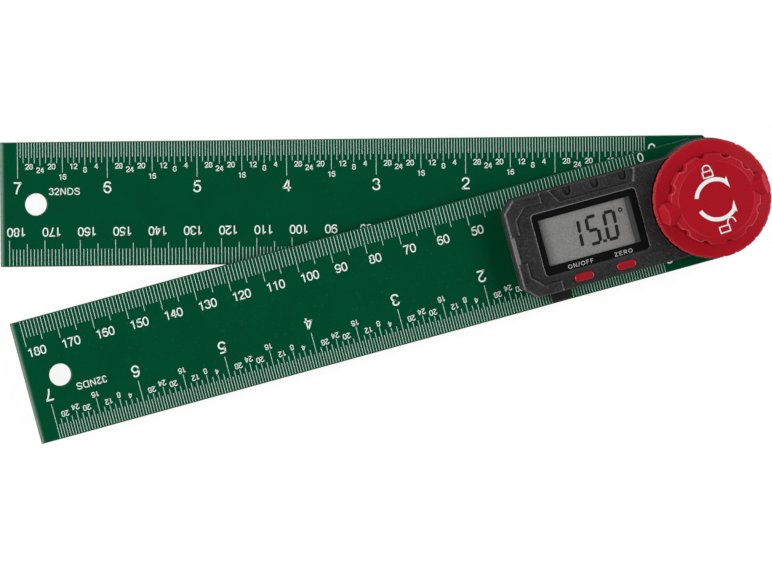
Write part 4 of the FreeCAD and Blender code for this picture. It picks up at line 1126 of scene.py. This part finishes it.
def padlock(relief, x, y, width, height, shackle):
    """A rectangular frame, and a shackle given as an open stroke."""
    reach, rise = (width - SYMBOL_LINE) / 2, (height - SYMBOL_LINE) / 2
    frame_line = [(x - reach, y - rise), (x + reach, y - rise),
                  (x + reach, y + rise), (x - reach, y + rise)]
    relief.stroke(Stroke(frame_line, True, False), SYMBOL_LINE)
    relief.stroke(shackle, SYMBOL_LINE)


print("an arrow's arc is drawn with", len(arc(ARC_RADIUS, 0, 90)), "points a side")

# %% [markdown]
# All the symbols are one print, pressed on in a single go, and it sits a little askew on the real
# knob. So they are placed square to the axes and turned together at the end.

# %% Print the symbols
SYMBOLS_TURN = math.radians(2.5)
SHUT_SHACKLE = curve((-1.36, 8.35),
                     ((-1.36, 8.7), (-1.36, 8.8), (-1.36, 9.0)),
                     ((-1.36, 10.35), (0.84, 10.35), (0.84, 9.0)),
                     ((0.84, 8.8), (0.84, 8.7), (0.84, 8.35)))
OPEN_SHACKLE = curve((0.96, -7.75), ((1.1, -5.4), (3.2, -5.4), (3.33, -7.65)))

symbols = Relief(surface_of("knob_body"))
arrow(symbols, 161, 50, tip=(4.63, 1.98), barb=(4.49, 5.46))
arrow(symbols, 199, 312, tip=(4.53, -1.6), barb=(4.63, -5.03))
padlock(symbols, -0.3, 7.47, 3.08, 2.0, SHUT_SHACKLE)
padlock(symbols, -0.23, -8.7, 3.15, 2.06, OPEN_SHACKLE)
symbols.build("knob_symbols", SYMBOL_INK, "lock_knob", SYMBOLS_TURN)

# %% [markdown]
# ## Floor
# The tool lies on a plain pale floor. Lamps that lit it to pure white would burn out the tool.
# Instead the floor glows, but only for rays that see it, straight or in a mirror, so that the glow
# throws no light at the tool. A share of paint stays in the mix and keeps a faint shadow.

# %% Floor
TOOL_MIDDLE = Vector((-0.09, 0, 0))
FLOOR_RADIUS, FLOOR_DROP = 12, 0.0001
FLOOR_GLOW, GLOW_STRENGTH = 0.85, 1.05


def floor_paint():
    finish = Finish("floor_paint", screen(252, 252, 252), 0.9, specular=0.1)
    cloud = finish.spread(finish.noise(140), *NOISE_RANGE)
    finish.give(Base_Color=finish.mix(cloud, screen(251, 251, 251), screen(254, 254, 254)))
    rays = finish.node("LightPath").outputs
    seen = finish.maths("MAXIMUM", rays["Is Camera Ray"], rays["Is Glossy Ray"])
    seen = finish.maths("MAXIMUM", seen, rays["Is Transmission Ray"])
    glow = finish.node("Emission", Color=WHITE, Strength=GLOW_STRENGTH).outputs[0]
    share = finish.product(seen, FLOOR_GLOW)
    finish.feed(finish.surface, finish.blend(share, finish.shader.outputs[0], glow))
    return finish.done()


bpy.ops.mesh.primitive_circle_add(vertices=96, radius=FLOOR_RADIUS, fill_type="NGON",
                                  location=TOOL_MIDDLE - Vector((0, 0, FLOOR_DROP)))
floor = bpy.context.object
floor.name = "floor"
floor.data.materials.append(floor_paint())

# %% [markdown]
# ## Light
# Four soft boxes light the tool, two to its right and two to its left. The high pair gives the flat
# faces their light. The low pair hardly reaches the flats but fills the bevels and the walls that
# face it, which draws the outline of every dark moulding. A lamp's power says little about how
# bright a surface gets. So each box is given as a share of the light under which a level face shows
# its full colour, and its power follows from that, its distance and its slope.

# %% Soft boxes
LIGHT_DISTANCE = 0.7
SOFT_BOXES = {
    # name: azimuth from +X and elevation in degrees, share, length and height in metres
    "right_box": (0, 44, 0.365, 0.7, 0.3),
    "left_box": (172, 46, 0.29, 0.7, 0.25),
    "right_strip": (0, 10, 0.03, 0.9, 0.2),
    "left_strip": (160, 10, 0.1, 0.8, 0.2),
}


def soft_box(name, azimuth, elevation, share, length, height):
    azimuth, elevation = math.radians(azimuth), math.radians(elevation)
    lamp = bpy.data.lights.new(name, "AREA")
    lamp.shape = "RECTANGLE"
    lamp.size, lamp.size_y = length, height
    lamp.energy = share * math.pi ** 2 * LIGHT_DISTANCE ** 2 / math.sin(elevation)
    way = Vector((math.cos(azimuth), math.sin(azimuth), math.tan(elevation))).normalized()
    stand = bpy.data.objects.new(name, lamp)
    stand.location = TOOL_MIDDLE + way * LIGHT_DISTANCE
    stand.rotation_euler = (-way).to_track_quat("-Z", "Y").to_euler()
    bpy.context.scene.collection.objects.link(stand)
    print(f"{name} shines with {lamp.energy:.2f} watts")


for name, settings in SOFT_BOXES.items():
    soft_box(name, *settings)

# %% [markdown]
# The sky fills the rest. It is pale only towards the soft boxes and dark overhead, like a studio
# with black side walls, so that a window seen from above doesn't go milky. Together with the boxes
# it adds up to about one, so that a colour renders as it is written.

# %% Sky
world = bpy.data.worlds.new("studio")
bpy.context.scene.world = world
world.use_nodes = True
sky = Nodes(world.node_tree)
way = sky.split(sky.node("TexCoord").outputs["Generated"])
upwards = sky.spread(way["Z"], 0.1, 0.85, 1.15, 0.1)
sideways = sky.spread(sky.maths("ABSOLUTE", way["X"]), 0.2, 0.9, 0.4, 1.0)
backdrop = world.node_tree.nodes["Background"].inputs
sky.feed(backdrop["Color"], WHITE)
sky.feed(backdrop["Strength"], sky.product(upwards, sideways))
print("the sky takes", len(world.node_tree.nodes), "nodes")

# %% [markdown]
# ## Camera
# The camera looks down almost upright, from the upper left, through a very long lens, so that both
# rules keep their width from end to end. Its direction is a small lean in X and Y, and its turn is
# the angle of the image's upright to the Y axis. An orthographic camera would do nearly the same,
# but a real lens always keeps a trace of perspective.

# %% Camera
LEAN_X, LEAN_Y = -0.105, 0.062
VIEW_TURN = math.radians(15.05)
VIEW_DISTANCE, LENS, SENSOR_WIDTH, FARTHEST = 6.0444, 1000, 36, 100
AIM = Vector((-94.68, -1.19, 4.0)) * MM

back = Vector((LEAN_X, LEAN_Y, math.sqrt(1 - LEAN_X ** 2 - LEAN_Y ** 2)))
right = Vector((math.sin(VIEW_TURN), math.cos(VIEW_TURN), 0)).cross(back).normalized()
axes = Matrix((right, back.cross(right), back)).transposed()
camera = bpy.data.objects.new("camera", bpy.data.cameras.new("camera"))
camera.data.lens = LENS
camera.data.sensor_width = SENSOR_WIDTH
camera.data.clip_end = FARTHEST
camera.matrix_world = Matrix.Translation(AIM + back * VIEW_DISTANCE) @ axes.to_4x4()
bpy.context.scene.collection.objects.link(camera)
bpy.context.scene.camera = camera
bpy.context.scene.view_settings.view_transform = "Standard"
print(f"the camera leans {math.degrees(math.acos(back.z)):.1f} degrees from upright")

# %% Import json
import json
